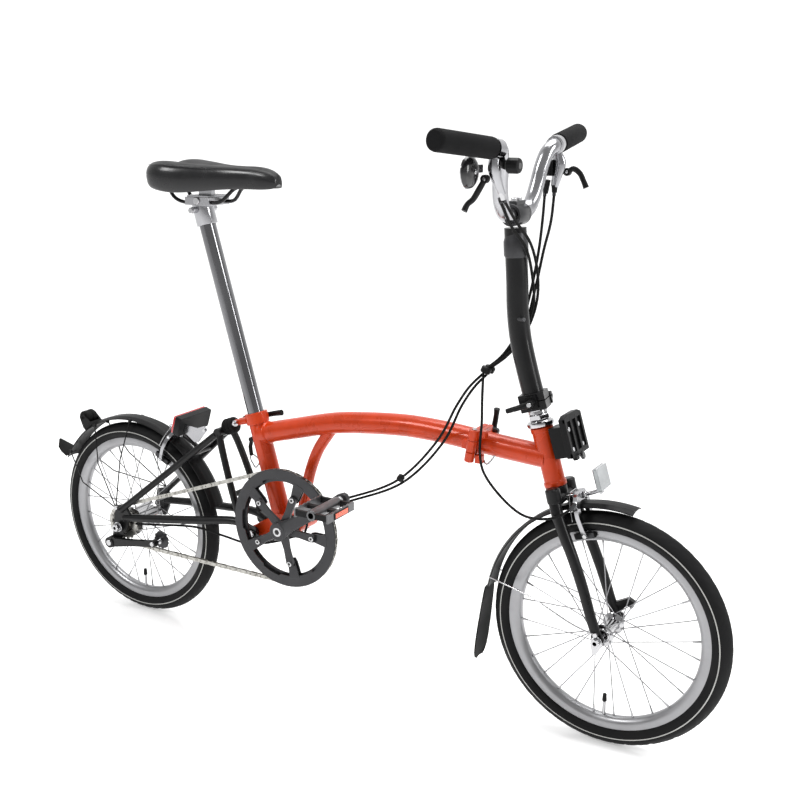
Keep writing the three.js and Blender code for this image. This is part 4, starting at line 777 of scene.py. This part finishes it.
front_brake = Vector((462, 0, 435))
brake_set("front_brake", front_brake, AHEAD, STEER, ("front_brake_arm_right", "front_brake_arm_left"), "fork")
rear_up = ray(1.065)
rear_out = Vector((rear_up.z, 0, -rear_up.x))
brake_set("rear_brake", on_wheel(REAR, 236, 61), rear_out, rear_up, ("rear_brake_arm_right",
    "rear_brake_arm_left"), "rear_frame")

shape = Shape()
lens_at = Vector((499, 0, 472))
shape.plate([(-20, -19), (20, -19), (22, -17), (22, 17), (20, 19), (-20, 19), (-22, 17), (-22, -17)], lens_at,
    ACROSS, STEER, 8)
shape.plate(rect(-22.6, -19.6, 22.6, 19.6), lens_at - AHEAD * 3.4, ACROSS, STEER, 1.6, 1)
shape.plate(rect(-7, -26, 7, 12), Vector((493.6, 0, 470.4)), ACROSS, STEER, 2.4, 1)
shape.pipe([(501, 0, 451), (494, 0, 448), (484, 0, 443), (472, 0, 438.5)], 3.4, slot=1, sides=14)
build("front_reflector_lens", "fork", shape, [CLEAR, ALLOY], ["front_reflector"], bevel=0.8)

# ---- cranks, chainring, chain and pedals
turn = math.radians(32)
arm_dir, beside = ray(turn), ray(turn + math.pi / 2)
spider = [(ray(turn + math.pi * k), ray(turn + math.pi * (k + 0.5))) for k in (0.2, 0.6, 1, 1.4, 1.8)]


def crank_arm(shape, sign, y, thick):
    """An arm from the bracket towards the right (1) or left (-1) pedal."""
    rings = []
    for d, w, t in [(-14, 9, 0.7), (-8, 14, 0.95), (0, 16, 1), (14, 15, 1), (34, 12, 1), (90, 10.6, 0.95),
            (150, 10.4, 0.9), (166, 12, 0.95), (178, 9.6, 0.9), (182, 5, 0.7)]:
        c = bb + arm_dir * (d * sign) + ACROSS * y
        h = thick / 2 * t
        low_half = [(-w, -h * 0.6), (-w * 0.75, -h), (w * 0.75, -h), (w, -h * 0.6)]
        rings.append([c + beside * a + ACROSS * b for a, b in low_half + [(-a, -b) for a, b in low_half]])
    shape.rings(rings)


shape = Shape()
crank_arm(shape, 1, -71, 14)
shape.pin(bb, -78.6, -45, 18, 16, edge=1.5, sides=44)
shape.pin(bb, -46, -36, 12)
shape.pin(bb, -79.4, -78, 9, slot=1, edge=0.4)
shape.hexagon(bb + ACROSS * -80, ACROSS, 5.5, 2, 2)
for u, v in spider:
    shape.plate([(6, -10), (40, -6.5), (66, -8), (74, -6), (74, 6), (66, 8), (40, 6.5), (6, 10)],
        bb + ACROSS * -60.5, u, v, 6)
    shape.plate([(62, -7), (99, -12), (99, 12), (62, 7)], bb + ACROSS * -57.2, u, v, 2.6, 3)
    shape.pin(bb + u * 68, -66, -50, 5.2, slot=1, edge=0.6)
    # a thin near-black disc on each chainring bolt is painted shade for its socket
    shape.pin(bb + u * 68, -66.3, -65, 2.6, slot=2)
guard_inner = [99 if 12 <= j < 24 else 95 for j in range(36)]
shape.toothed(bb, guard_inner, 180, lambda r: ((r, -58), (116, -58), (117, -56.5), (116, -54.9), (r, -54.9)), 3)
tip = bb + arm_dir * CRANK_LENGTH
shape.pin(tip, -66, -86, 8, slot=1, edge=0.8).pin(tip, -84, -160, 5.6, slot=1)
build("crank_arm_right", "crank", shape, [GREY, STEEL, RECESS_SHADE, GREY], ["crank_right_with_spider"],
    bevel=0.7)

shape = Shape()
chain_bb = bb + ACROSS * CHAIN_Y


def chainring_section(r):
    half = 1.5 if r < 105 else 1.0
    return (92, -1.5), (102, -1.5), (r, -half), (r, half), (102, 1.5), (92, 1.5)


shape.toothed(chain_bb, (103.6, 106.6, 107.4, 106.6), CHAINRING_TEETH * 4, chainring_section)
for u, v in spider:
    shape.plate([(60, -6), (68, -9), (94, -11), (94, 11), (68, 9), (60, 6)], bb + ACROSS * -50, u, v, 3)
build("chainring_teeth", "crank", shape, [GREY], ["chainring"], sharp=40)

shape = Shape()
crank_arm(shape, -1, 67, 13)
shape.pin(bb, -35.6, 62, 8.5, slot=1).pin(bb, 52, 74.4, 16, edge=1.4)
shape.pin(bb, 73, 75, 9, slot=1, edge=0.4)
foot = bb - arm_dir * CRANK_LENGTH
shape.pin(foot, 66, 78, 8, slot=1).block(foot + ACROSS * 81.5, (22, 9, 22), slot=2)
build("crank_arm_left", "crank", shape, [GREY, STEEL, BLACK], ["crank_left_with_spindle"],
    bevel=0.7)

shape = Shape()
shape.block(foot + ACROSS * 92, (22, 11, 22)).pin(foot, 95, 172, 5.6, slot=1)
shape.rod(foot + Vector((-11, 86.7, -12.5)), foot + Vector((-11, 86.7, 12.5)), 3, slot=1, edge=0.4)
build("pedal_fold_joint", "pedal_left_arm", shape, [BLACK, STEEL], ["pedal_left_spindle"],
    bevel=0.8)


def pedal(name, body, node, centre, side, inner, outer, metal):
    shape = Shape()
    c = Vector(centre)
    middle, wide = side * (inner + outer) / 2, outer - inner
    teeth = [(outer - wide * i / 14, 8.5 if i % 2 else 6.6) for i in range(15)]
    edge_line = [(a * side, b) for a, b in [(inner, -8.5), (outer, -8.5)] + teeth]
    for sign in (-1, 1):
        x = 34 * sign
        shape.plate(edge_line, c + Vector((x, 0, 0)), ACROSS, (0, 0, 1), 3.2)
        shape.block(c + Vector((x + sign * 2.2, middle, -1)), (2.4, wide * 0.46, 9), slot=1)
        # a slightly larger near-black block behind each reflector is painted shade of its recess
        shape.block(c + Vector((x + sign * 1.9, middle, -1)), (2.2, wide * 0.52, 12), slot=2)
    for y in (inner + 3, outer - 3):
        shape.block(c + ACROSS * (side * y), (68, 5.6, 11), slot=3)
    shape.rod(c + ACROSS * (side * inner), c + ACROSS * (side * outer), 10, edge=1.4)
    shape.block(c + ACROSS * middle, (66, 10, 6), slot=3)
    # a thin near-black disc at the spindle's outer end is painted shade for its bore
    shape.rod(c + ACROSS * (side * (outer - 0.6)), c + ACROSS * (side * outer), 6, slot=2)
    build(name, body, shape, [metal, AMBER, RECESS_SHADE, PLASTIC], [node], bevel=0.5)


pedal("pedal_cage_right", "pedal_right", "pedal_right_body", tip, -1, 88, 172, CAGE)
pedal("pedal_cage_left", "pedal_left", "pedal_left_body", foot, 1, 99, 181, PLASTIC)

# The chain: the tight line round the chainring, the sprocket and the tensioner wheel, in links.
circles = [(BB, 112.4), (REAR, 38.4), ((-424, 192), 24.2)]
leave = []
for i in range(3):
    (c0, r0), (c1, r1) = circles[i], circles[(i + 1) % 3]
    dx, dz = c1[0] - c0[0], c1[1] - c0[1]
    leave.append(math.atan2(dz, dx) - math.acos((r0 - r1) / math.hypot(dx, dz)))
path = []
for i, (c, r) in enumerate(circles):
    start, stop = leave[i - 1], leave[i]
    while stop < start:
        stop += 2 * math.pi
    for k in range(41):
        a = start + (stop - start) * k / 40
        path.append(Vector((c[0] + r * math.cos(a), CHAIN_Y, c[1] + r * math.sin(a))))
lengths = [0.0]
for i in range(len(path)):
    lengths.append(lengths[-1] + (path[(i + 1) % len(path)] - path[i]).length)
links_count = 2 * round(lengths[-1] / TWO_LINKS)
pins = []
k = 0
for n in range(links_count):
    s = lengths[-1] * n / links_count
    while lengths[k + 1] < s:
        k += 1
    f = (s - lengths[k]) / max(lengths[k + 1] - lengths[k], 1e-6)
    pins.append(path[k % len(path)].lerp(path[(k + 1) % len(path)], f))
shape = Shape()
for n in range(links_count):
    a, b = pins[n], pins[(n + 1) % links_count]
    u = (b - a).normalized()
    v = Vector((-u.z, 0, u.x))
    half = (b - a).length / 2
    outline = []
    for reach, first in ((half, -0.5), (-half, 0.5)):
        for j in range(9):
            t = math.pi * (j / 8 + first)
            outline.append((reach + 3.6 * math.cos(t), 3.6 * math.sin(t)))
    y = 2.9 if n % 2 else 1.9
    for side in (-1, 1):
        shape.plate([(p, q * (0.72 if abs(p) < half * 0.6 else 1)) for p, q in outline],
            (a + b) / 2 + ACROSS * side * y, u, v, 0.8)
    shape.pin(a, -3.3, 3.3, 1.6, sides=8)
    shape.pin(a, -1.5, 1.5, 3.1, sides=10)
build("chain_links", None, shape, [CHAIN], ["chain"], sharp=40, blend=("main_frame",
    "rear_frame", (-190, CHAIN_Y, 280), (-380, CHAIN_Y, 240)))

# Sprocket and tensioner.
shape = Shape()
shape.toothed(Vector((REAR[0], CHAIN_Y, REAR[1])), (29.4, 32.6, 33.6, 32.6), SPROCKET_TEETH * 4,
    lambda r: ((8.2, -1.2), (28, -1.2), (r, -0.8), (r, 0.8), (28, 1.2), (8.2, 1.2)))
shape.turn([(8.2, -53), (14, -53), (14, -45), (25, -45), (26, -44), (26, -42.6), (14, -42.6), (14, -36),
    (8.2, -36)], (REAR[0], 0, REAR[1]), ACROSS, 0, 40)
build("sprocket_teeth", "freewheel", shape, [CHAIN], ["rear_sprockets"], sharp=40)

arm_foot, arm_tip = Vector((-543, 0, 172)), Vector((-424, 0, 192))
shape = Shape()
shape.pin(arm_foot, -67, -82, 12.5, 11.5, edge=1.2)
shape.pin(arm_foot, -81.4, -83, 6.4, slot=1, edge=0.6)
shape.pin(arm_tip, -66.6, -79, 8, edge=1)
shape.pin(arm_tip, -78.6, -80.4, 5, slot=1, edge=0.6)
shape.plate([(0, -10), (20, -9), (60, -6.6), (119, -6.5), (119, 6.5), (60, 6.6), (20, 9), (0, 10)],
    arm_foot - ACROSS * 75, (0.986, 0, 0.166), (-0.166, 0, 0.986), 9)
build("tensioner_arm", "tensioner", shape, [BLACK, STEEL], ["chain_tensioner_arm"], bevel=1.0)
shape = Shape()
shape.toothed(arm_tip + ACROSS * CHAIN_Y, (16.8, 18.8, 19.3, 18.8), TENSIONER_TEETH * 4,
    lambda r: ((4, -1.3), (15, -1.3), (r, -1), (r, 1), (15, 1.3), (4, 1.3)))
shape.turn([(0, -66), (3.3, -66), (3.3, -57.9), (7, -57.9), (7, -42), (0, -42)], arm_tip, ACROSS, 1, 32)
build("tensioner_cog", "tensioner_wheel", shape, [GREY, STEEL], ["chain_tensioner_wheel"],
    sharp=40)

# ---- seatpost and saddle
shape = Shape()
shape.turn([(0, 0), (14.4, 0), (15.9, 1.5), (15.9, POST_LENGTH - 1), (0, POST_LENGTH)],
    seat_at(POST_TOP - POST_LENGTH), SEAT_UP, 0, 48)
shape.turn([(0, -9), (12, -9), (15.6, -4), (15.7, 0), (0, 0)], seat_at(POST_TOP - POST_LENGTH), SEAT_UP, 1, 40)
build("post_tube", "seat", shape, [POST, RUBBER], ["seatpost"])

rows = [(-409, 46, 935, 940, 926, 931), (-404, 60, 943, 952, 917, 927), (-394, 68, 948, 957, 909, 925),
    (-375, 72, 950, 959, 905, 925), (-356, 71.4, 950.6, 958.4, 902, 925), (-338, 68, 950.6, 956.4, 901, 925),
    (-315, 60, 950.6, 954.6, 901.6, 925), (-292, 50, 950.6, 952.6, 904, 925), (-268, 40, 951, 951, 906.5,
    924.6), (-246, 32, 951.4, 950, 908, 924), (-222, 27, 951.6, 949, 909.4, 923.4),
    (-200, 23.5, 951.4, 948, 910, 922.5), (-182, 21.5, 950.6, 946.6, 910, 921), (-165, 20, 949, 944, 910, 920),
    (-152, 17.6, 945.6, 940.6, 911, 919.6), (-143, 15, 941, 937, 912, 919), (-136.5, 11, 935, 932, 914.6, 920)]
shape = Shape()
rings = []
for x, w, top, hump, skirt, under in rows:
    half = [(0.12 * w, top - (1.6 if x < -200 else 0)), (0.3 * w, (top + hump) / 2 + 0.8),
        (0.5 * w, hump + 0.2), (0.68 * w, hump), (0.84 * w, hump - 3), (0.95 * w, hump - 9),
        (w, hump * 0.55 + skirt * 0.45), (0.985 * w, hump * 0.3 + skirt * 0.7), (0.94 * w, skirt + 1),
        (0.88 * w, skirt), (0.8 * w, skirt + 2), (0.6 * w, under - 2)]
    row = [(0, top - (2.2 if x < -200 else 0)), *half, (0, under), *[(-y, z) for y, z in reversed(half)]]
    rings.append([(x, y, z) for y, z in row])
shape.rings(rings)
count = len(rings[0])
for index in range((len(rings) - 1) * count):
    k = index % count
    if 5 <= k < count - 5:
        shape.slots[index] = 1
saddle = build("saddle_shell", "seat", shape, [LEATHER, LEATHER_SIDE], ["saddle"], sharp=80,
    subsurf=1)

shape = Shape()
for side in (-1, 1):
    seam = [(x, side * 0.9 * w, hump - 5.6) for x, w, _, hump, _, _ in rows[2:-2]]
    dense = [p for p, _ in curve_points(seam, 3.2)]
    for a, b in zip(dense, dense[1:]):
        mid = a.lerp(b, 0.5)
        d = (b - a).normalized() * 1.15
        shape.pipe([mid - d, mid + Vector((0, side * 0.2, 0.3)), mid + d], 0.42, sides=6, step=2)
build("saddle_stitches", "seat", shape, [THREAD])

shape = Shape()
for side in (-1, 1):
    shape.pipe([(-212, side * 8, 917.6), (-232, side * 12, 909), (-258, side * 20, 886),
        (-285, side * 22, 883), (-355, side * 22, 884), (-372, side * 24, 896), (-379, side * 26, 923)], 3.5,
        sides=18, slot=1)
shape.block((-307, 0, 885), (58, 60, 15)).block((-307, 0, 899), (30, 12, 16))
shape.block((-307, 0, 894), (50, 56, 4)).pin((-318, 0, 868), -33, 33, 6, edge=0.8)
shape.turn([(16.2, 0), (19.4, 0), (20, 1), (20, 43), (19, 44), (0, 44)], seat_at(POST_TOP - 24), SEAT_UP, 0, 44)
for side in (-1, 1):
    shape.hexagon((-318, side * 33, 868), (0, side, 0), 6, 4, 2)
    shape.pin((-307, 0, 886), side * 30, side * 33, 7, edge=0.8, slot=2)
build("saddle_clamp", "seat", shape, [ALLOY, BLACK, STEEL], ["saddle_rails_and_clamp"],
    bevel=0.8)

# ---- clamps, catches and the luggage block
def bolt_spot(y, along=0.0):
    return seat_at(SEAT_CLAMP, y, 43 - along)


shape = Shape()
shape.turn([(18.9, 0), (21.6, 0), (22.5, 1), (22.5, 21), (21.6, 22), (16.4, 22), (16.4, 18), (18.9, 18)],
    seat_at(207), SEAT_UP, 0, 44)
for y in (-6.5, 6.5):
    shape.rod(seat_at(SEAT_CLAMP, y, 20), seat_at(SEAT_CLAMP, y, 50), 6.3, edge=1.2)
shape.rod(bolt_spot(-24), bolt_spot(21), 3, slot=1)
shape.hexagon(bolt_spot(-20.5), ACROSS, 6.2, 6, 1)
build("seat_clamp", "main_frame", shape, [ORANGE, STEEL], ["seat_clamp_collar"], bevel=0.6)
shape = Shape()
shape.rod(bolt_spot(13.8), bolt_spot(24), 8, edge=1)
shape.pipe([bolt_spot(19), bolt_spot(30, 28), bolt_spot(33, 58), bolt_spot(27, 84)], [6, 5.4, 5.4, 6],
    sides=20, flat=0.75)
build("seat_clamp_handle", "seat_clamp_lever", shape, [PLASTIC], ["seat_clamp_lever"], bevel=0.5)

shape = Shape()
c = hinge_at(32.5, 38)
shape.plate([(-15, -14), (-12, -17), (12, -17), (15, -14), (15, 14), (12, 17), (-12, 17), (-15, 14)], c,
    Vector((HINGE.z, 0, -HINGE.x)), HINGE, 9)
build("hinge_clamp", "front_frame", shape, [GREY], ["main_hinge_clamp_plate"], bevel=1.2)
shape = Shape()
shape.rod(hinge_at(32.5, 43), hinge_at(32.5, 54), 8, 7, edge=1)
shape.pipe([hinge_at(34.5, 48), hinge_at(50.5, 49), hinge_at(68.5, 48.5), hinge_at(81, 46.5)],
    [5.4, 5, 4.8, 5.4], sides=20)
build("hinge_handle", "main_hinge_lever", shape, [PLASTIC], ["main_hinge_lever"], bevel=0.5)

shape = Shape()


def ahead(a, up, y):
    return steer_at(up - 30, y, a)


def front_plate(outline, a, thick):
    shape.plate(outline, ahead(a, 8, 0), ACROSS, STEER, thick)


shape.plate(rect(18.6, -28, 50, 24), ahead(0, 3, 0), AHEAD, STEER, 34)
front_plate([(-35, -30), (-33, -32), (33, -32), (35, -30), (35, 33), (22, 38), (-22, 38), (-35, 33)], 52, 7)
for y0, y1 in ((-35, -28), (-14, -7), (7, 14), (28, 35)):
    front_plate(rect(y0, -32, y1, 33), 57.4, 4.2)
front_plate(rect(-35, -32, 35, -24), 57.3, 4.1)
front_plate([(-35, 27), (35, 27), (35, 33), (22, 38), (-22, 38), (-35, 33)], 57.3, 4.1)
front_plate(rect(-14, -40, -2, -28), 52, 7)
for y, up in ((-20, -12), (20, -12), (-20, 22), (20, 22)):
    shape.rod(ahead(55.4, up, y), ahead(57.6, up, y), 4, slot=1, edge=0.5)
build("carrier_block", "front_frame", shape, [PLASTIC, STEEL], ["luggage_block"], bevel=0.9)
shape = Shape()
shape.rod(ahead(62, -26, -8), ahead(67, -26, -8), 6.6, edge=1.2)
shape.rod(ahead(58.2, -26, -8), ahead(62.2, -26, -8), 1.9, slot=1)
build("carrier_button", "luggage_block_button", shape, [GLOSS, STEEL], ["luggage_block_button"])

# ---- cables
upper = [[(354.7, -94.6, 920), (358, -52, 882), (364, -10, 846), (367, 14, 800), (363, 27, 750),
    (346, 32, 700), (318, 20, 654), (291, 5, 629)], [(350, -98, 919), (352, -54, 873), (358, -13, 838),
    (361, 8, 792), (358, 24, 742), (342, 27, 694), (314, 14, 650), (286, -2, 628)],
    [(351, 112, 918), (356, 90, 872), (359, 57, 828), (353, 39, 762), (339, 35, 702), (313, 25, 656),
    (289, 7, 628)], [(333, 114, 916), (342, 86, 868), (350, 54, 818), (346, 34, 752), (332, 29, 697),
    (308, 15, 651), (284, 0, 627)],]
top_part, low_part = Shape(), Shape()
for line in upper:
    dense = [p for p, _ in curve_points(line, 8)]
    cut = next(i for i, p in enumerate(dense) if p.z < 735)
    top_part.pipe(dense[:cut + 1], 2.4, sides=12, step=8)
    low_part.pipe(dense[cut:], 2.4, sides=12, step=8)
    top_part.rod(dense[0] + Vector((0, 0, 3)), dense[1].lerp(dense[0], 0.2), 3.2, slot=1, edge=0.4, sides=14)
for x, y in ((289, -2), (291, 8)):
    low_part.rod((x, y, 632), (x - 4, y - 2, 622), 9, slot=1, edge=1.5)
build("cables_bar", None, top_part, [RUBBER, GREY], ["cables_upper"],
    blend=("stem", "fork", (352, 0, 900), (352, 0, 750)))
build("cables_stem", None, low_part, [RUBBER, PLASTIC], blend=("fork", "front_frame",
    (350, 0, 728), (292, 0, 640)))
shape = Shape()
shape.pipe([(283, -5, 622.6), (296, -34, 585), (300, -42, 545), (298, -43, 500), (303, -40, 462),
    (330, -36, 425), (372, -42, 400), (410, -58, 402), (446, -61, 412), (468, -50, 428), (470, -43, 434)], 2.3,
    sides=12)
shape.rod((467, -53, 425), (471, -42, 435), 3.2, slot=1, edge=0.4, sides=14)
build("cable_front", None, shape, [RUBBER, GREY], ["cable_front_brake"],
    blend=("front_frame", "fork", (300, -42, 480), (380, -46, 400)))
shape = Shape()
for dx, dy, dz in ((0, 0, 0), (7, 6, -5)):
    shape.pipe([(283 + dx, 1 + dy * 0.4, 622.6), (267 + dx, -24 + dy, 600), (250 + dx, -37 + dy, 568),
        (217 + dx, -38 + dy, 505 + dz), (134 + dx, -33 + dy, 415 + dz), (21 + dx, -24 + dy, 357 + dz),
        (-50 + dx, -19 + dy * 0.5, 329 + dz), (-82, -17, 310 + dz * 0.8)], 2.3, sides=12)
shape.block((-82, -17, 307), (9, 7, 12), slot=1)
shape.rod((139, -30, 421), (133, -30, 413), 6.4, slot=1, edge=1)
build("cables_frame", None, shape, [RUBBER, PLASTIC], ["cables_middle"],
    blend=("front_frame", "main_frame", (255, -36, 580), (134, -33, 415)))
shape = Shape()
shape.pipe([(-82, -17, 300.6), (-79, -18, 282), (-86, -20, 262), (-108, -22, 253), (-150, -26, 236),
    (-202, -40, 225.5), (-262, -44, 231), (-330, -48, 237.5), (-440, -57, 224.5), (-486, -57, 217.5)], 2.3,
    sides=12)
build("cable_rear", None, shape, [RUBBER], ["cables_rear"], blend=("main_frame", "rear_frame",
    (-120, -22, 250), (-262, -44, 231)))

# ---- CAD nodes that stay in sight
FINISH = {"bottom_bracket_cartridge": GREY, "rear_catch_lever": PLASTIC}
for name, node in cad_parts.items():
    if node.hide_render:
        continue
    node.data.shade_smooth()
    weld = node.modifiers.new("weld", "WELD")
    weld.merge_threshold = 1e-5
    split = node.modifiers.new("edges", "EDGE_SPLIT")
    split.split_angle = math.radians(38)
    for s in node.material_slots:
        s.material = FINISH.get(name, BLACK)

# ---- floor, light and camera
floor_mesh = bpy.data.meshes.new("floor")
bm = bmesh.new()
bmesh.ops.create_grid(bm, x_segments=2, y_segments=2, size=40)
bm.to_mesh(floor_mesh)
bm.free()
floor = add_object("floor", floor_mesh)
floor.location.z = -0.0004
PALE = material("floor_pale", (0.9, 0.9, 0.9), 0.18, 0.0, wear=0.03, dark=0.98)
floor_mesh.materials.append(PALE)
set_inputs(PALE.node_tree.nodes["Principled BSDF"], Emission_Color=(1, 1, 1, 1), Emission_Strength=0.36)

world = bpy.data.worlds.new("studio")
scene.world = world
world.use_nodes = True
sky, sky_links = world.node_tree.nodes, world.node_tree.links
heading = sky.new("ShaderNodeTexCoord")
toward = sky.new("ShaderNodeVectorMath")
toward.operation = "DOT_PRODUCT"
toward.inputs[1].default_value = (-0.507, 0.862, 0.0)
sky_links.new(heading.outputs["Generated"], toward.inputs[0])
shade = sky.new("ShaderNodeMapRange")
set_inputs(shade, From_Min=-0.2, From_Max=0.6, To_Min=0.42, To_Max=1.15)
sky_links.new(toward.outputs["Value"], shade.inputs["Value"])
sky_links.new(shade.outputs["Result"], sky["Background"].inputs["Strength"])
set_inputs(sky["Background"], Color=(1, 1, 1, 1))
scene.view_settings.view_transform = "Standard"


def lamp(name, place, aim, size, power):
    data = bpy.data.lights.new(name, "AREA")
    data.shape = "RECTANGLE"
    data.size, data.size_y = size
    data.energy = power
    light = add_object(name, data)
    light.location = place
    light.rotation_euler = (Vector(aim) - Vector(place)).to_track_quat("-Z", "Y").to_euler()


lamp("key", (-1.4, -2.4, 2.8), (0, 0, 0.4), (1.0, 1.0), 42)
lamp("front_soft", (3.0, 0.2, 1.8), (0, 0, 0.4), (0.5, 1.8), 36)
lamp("top", (0.2, 0.6, 3.4), (0, 0, 0.2), (3.0, 1.6), 85)

azimuth, elevation, roll = math.radians(30.48), math.radians(14.66), math.radians(-0.08)
forward = -Vector((math.sin(azimuth) * math.cos(elevation), -math.cos(azimuth) * math.cos(elevation),
    math.sin(elevation)))
right = forward.cross(Vector((0, 0, 1))).normalized()
up = right.cross(forward)
camera_data = bpy.data.cameras.new("camera")
camera = add_object("camera", camera_data)
axes = Matrix((right, up, -forward)).transposed().to_4x4()
camera.matrix_world = Matrix.Translation(at((1090.67, -1654.54, 1053.48))) @ axes @ Matrix.Rotation(-roll, 4,
    "Z")
camera_data.sensor_width = 36
camera_data.lens = 36 * 1114.29 / 800
camera_data.clip_start, camera_data.clip_end = 0.05, 50
scene.camera = camera
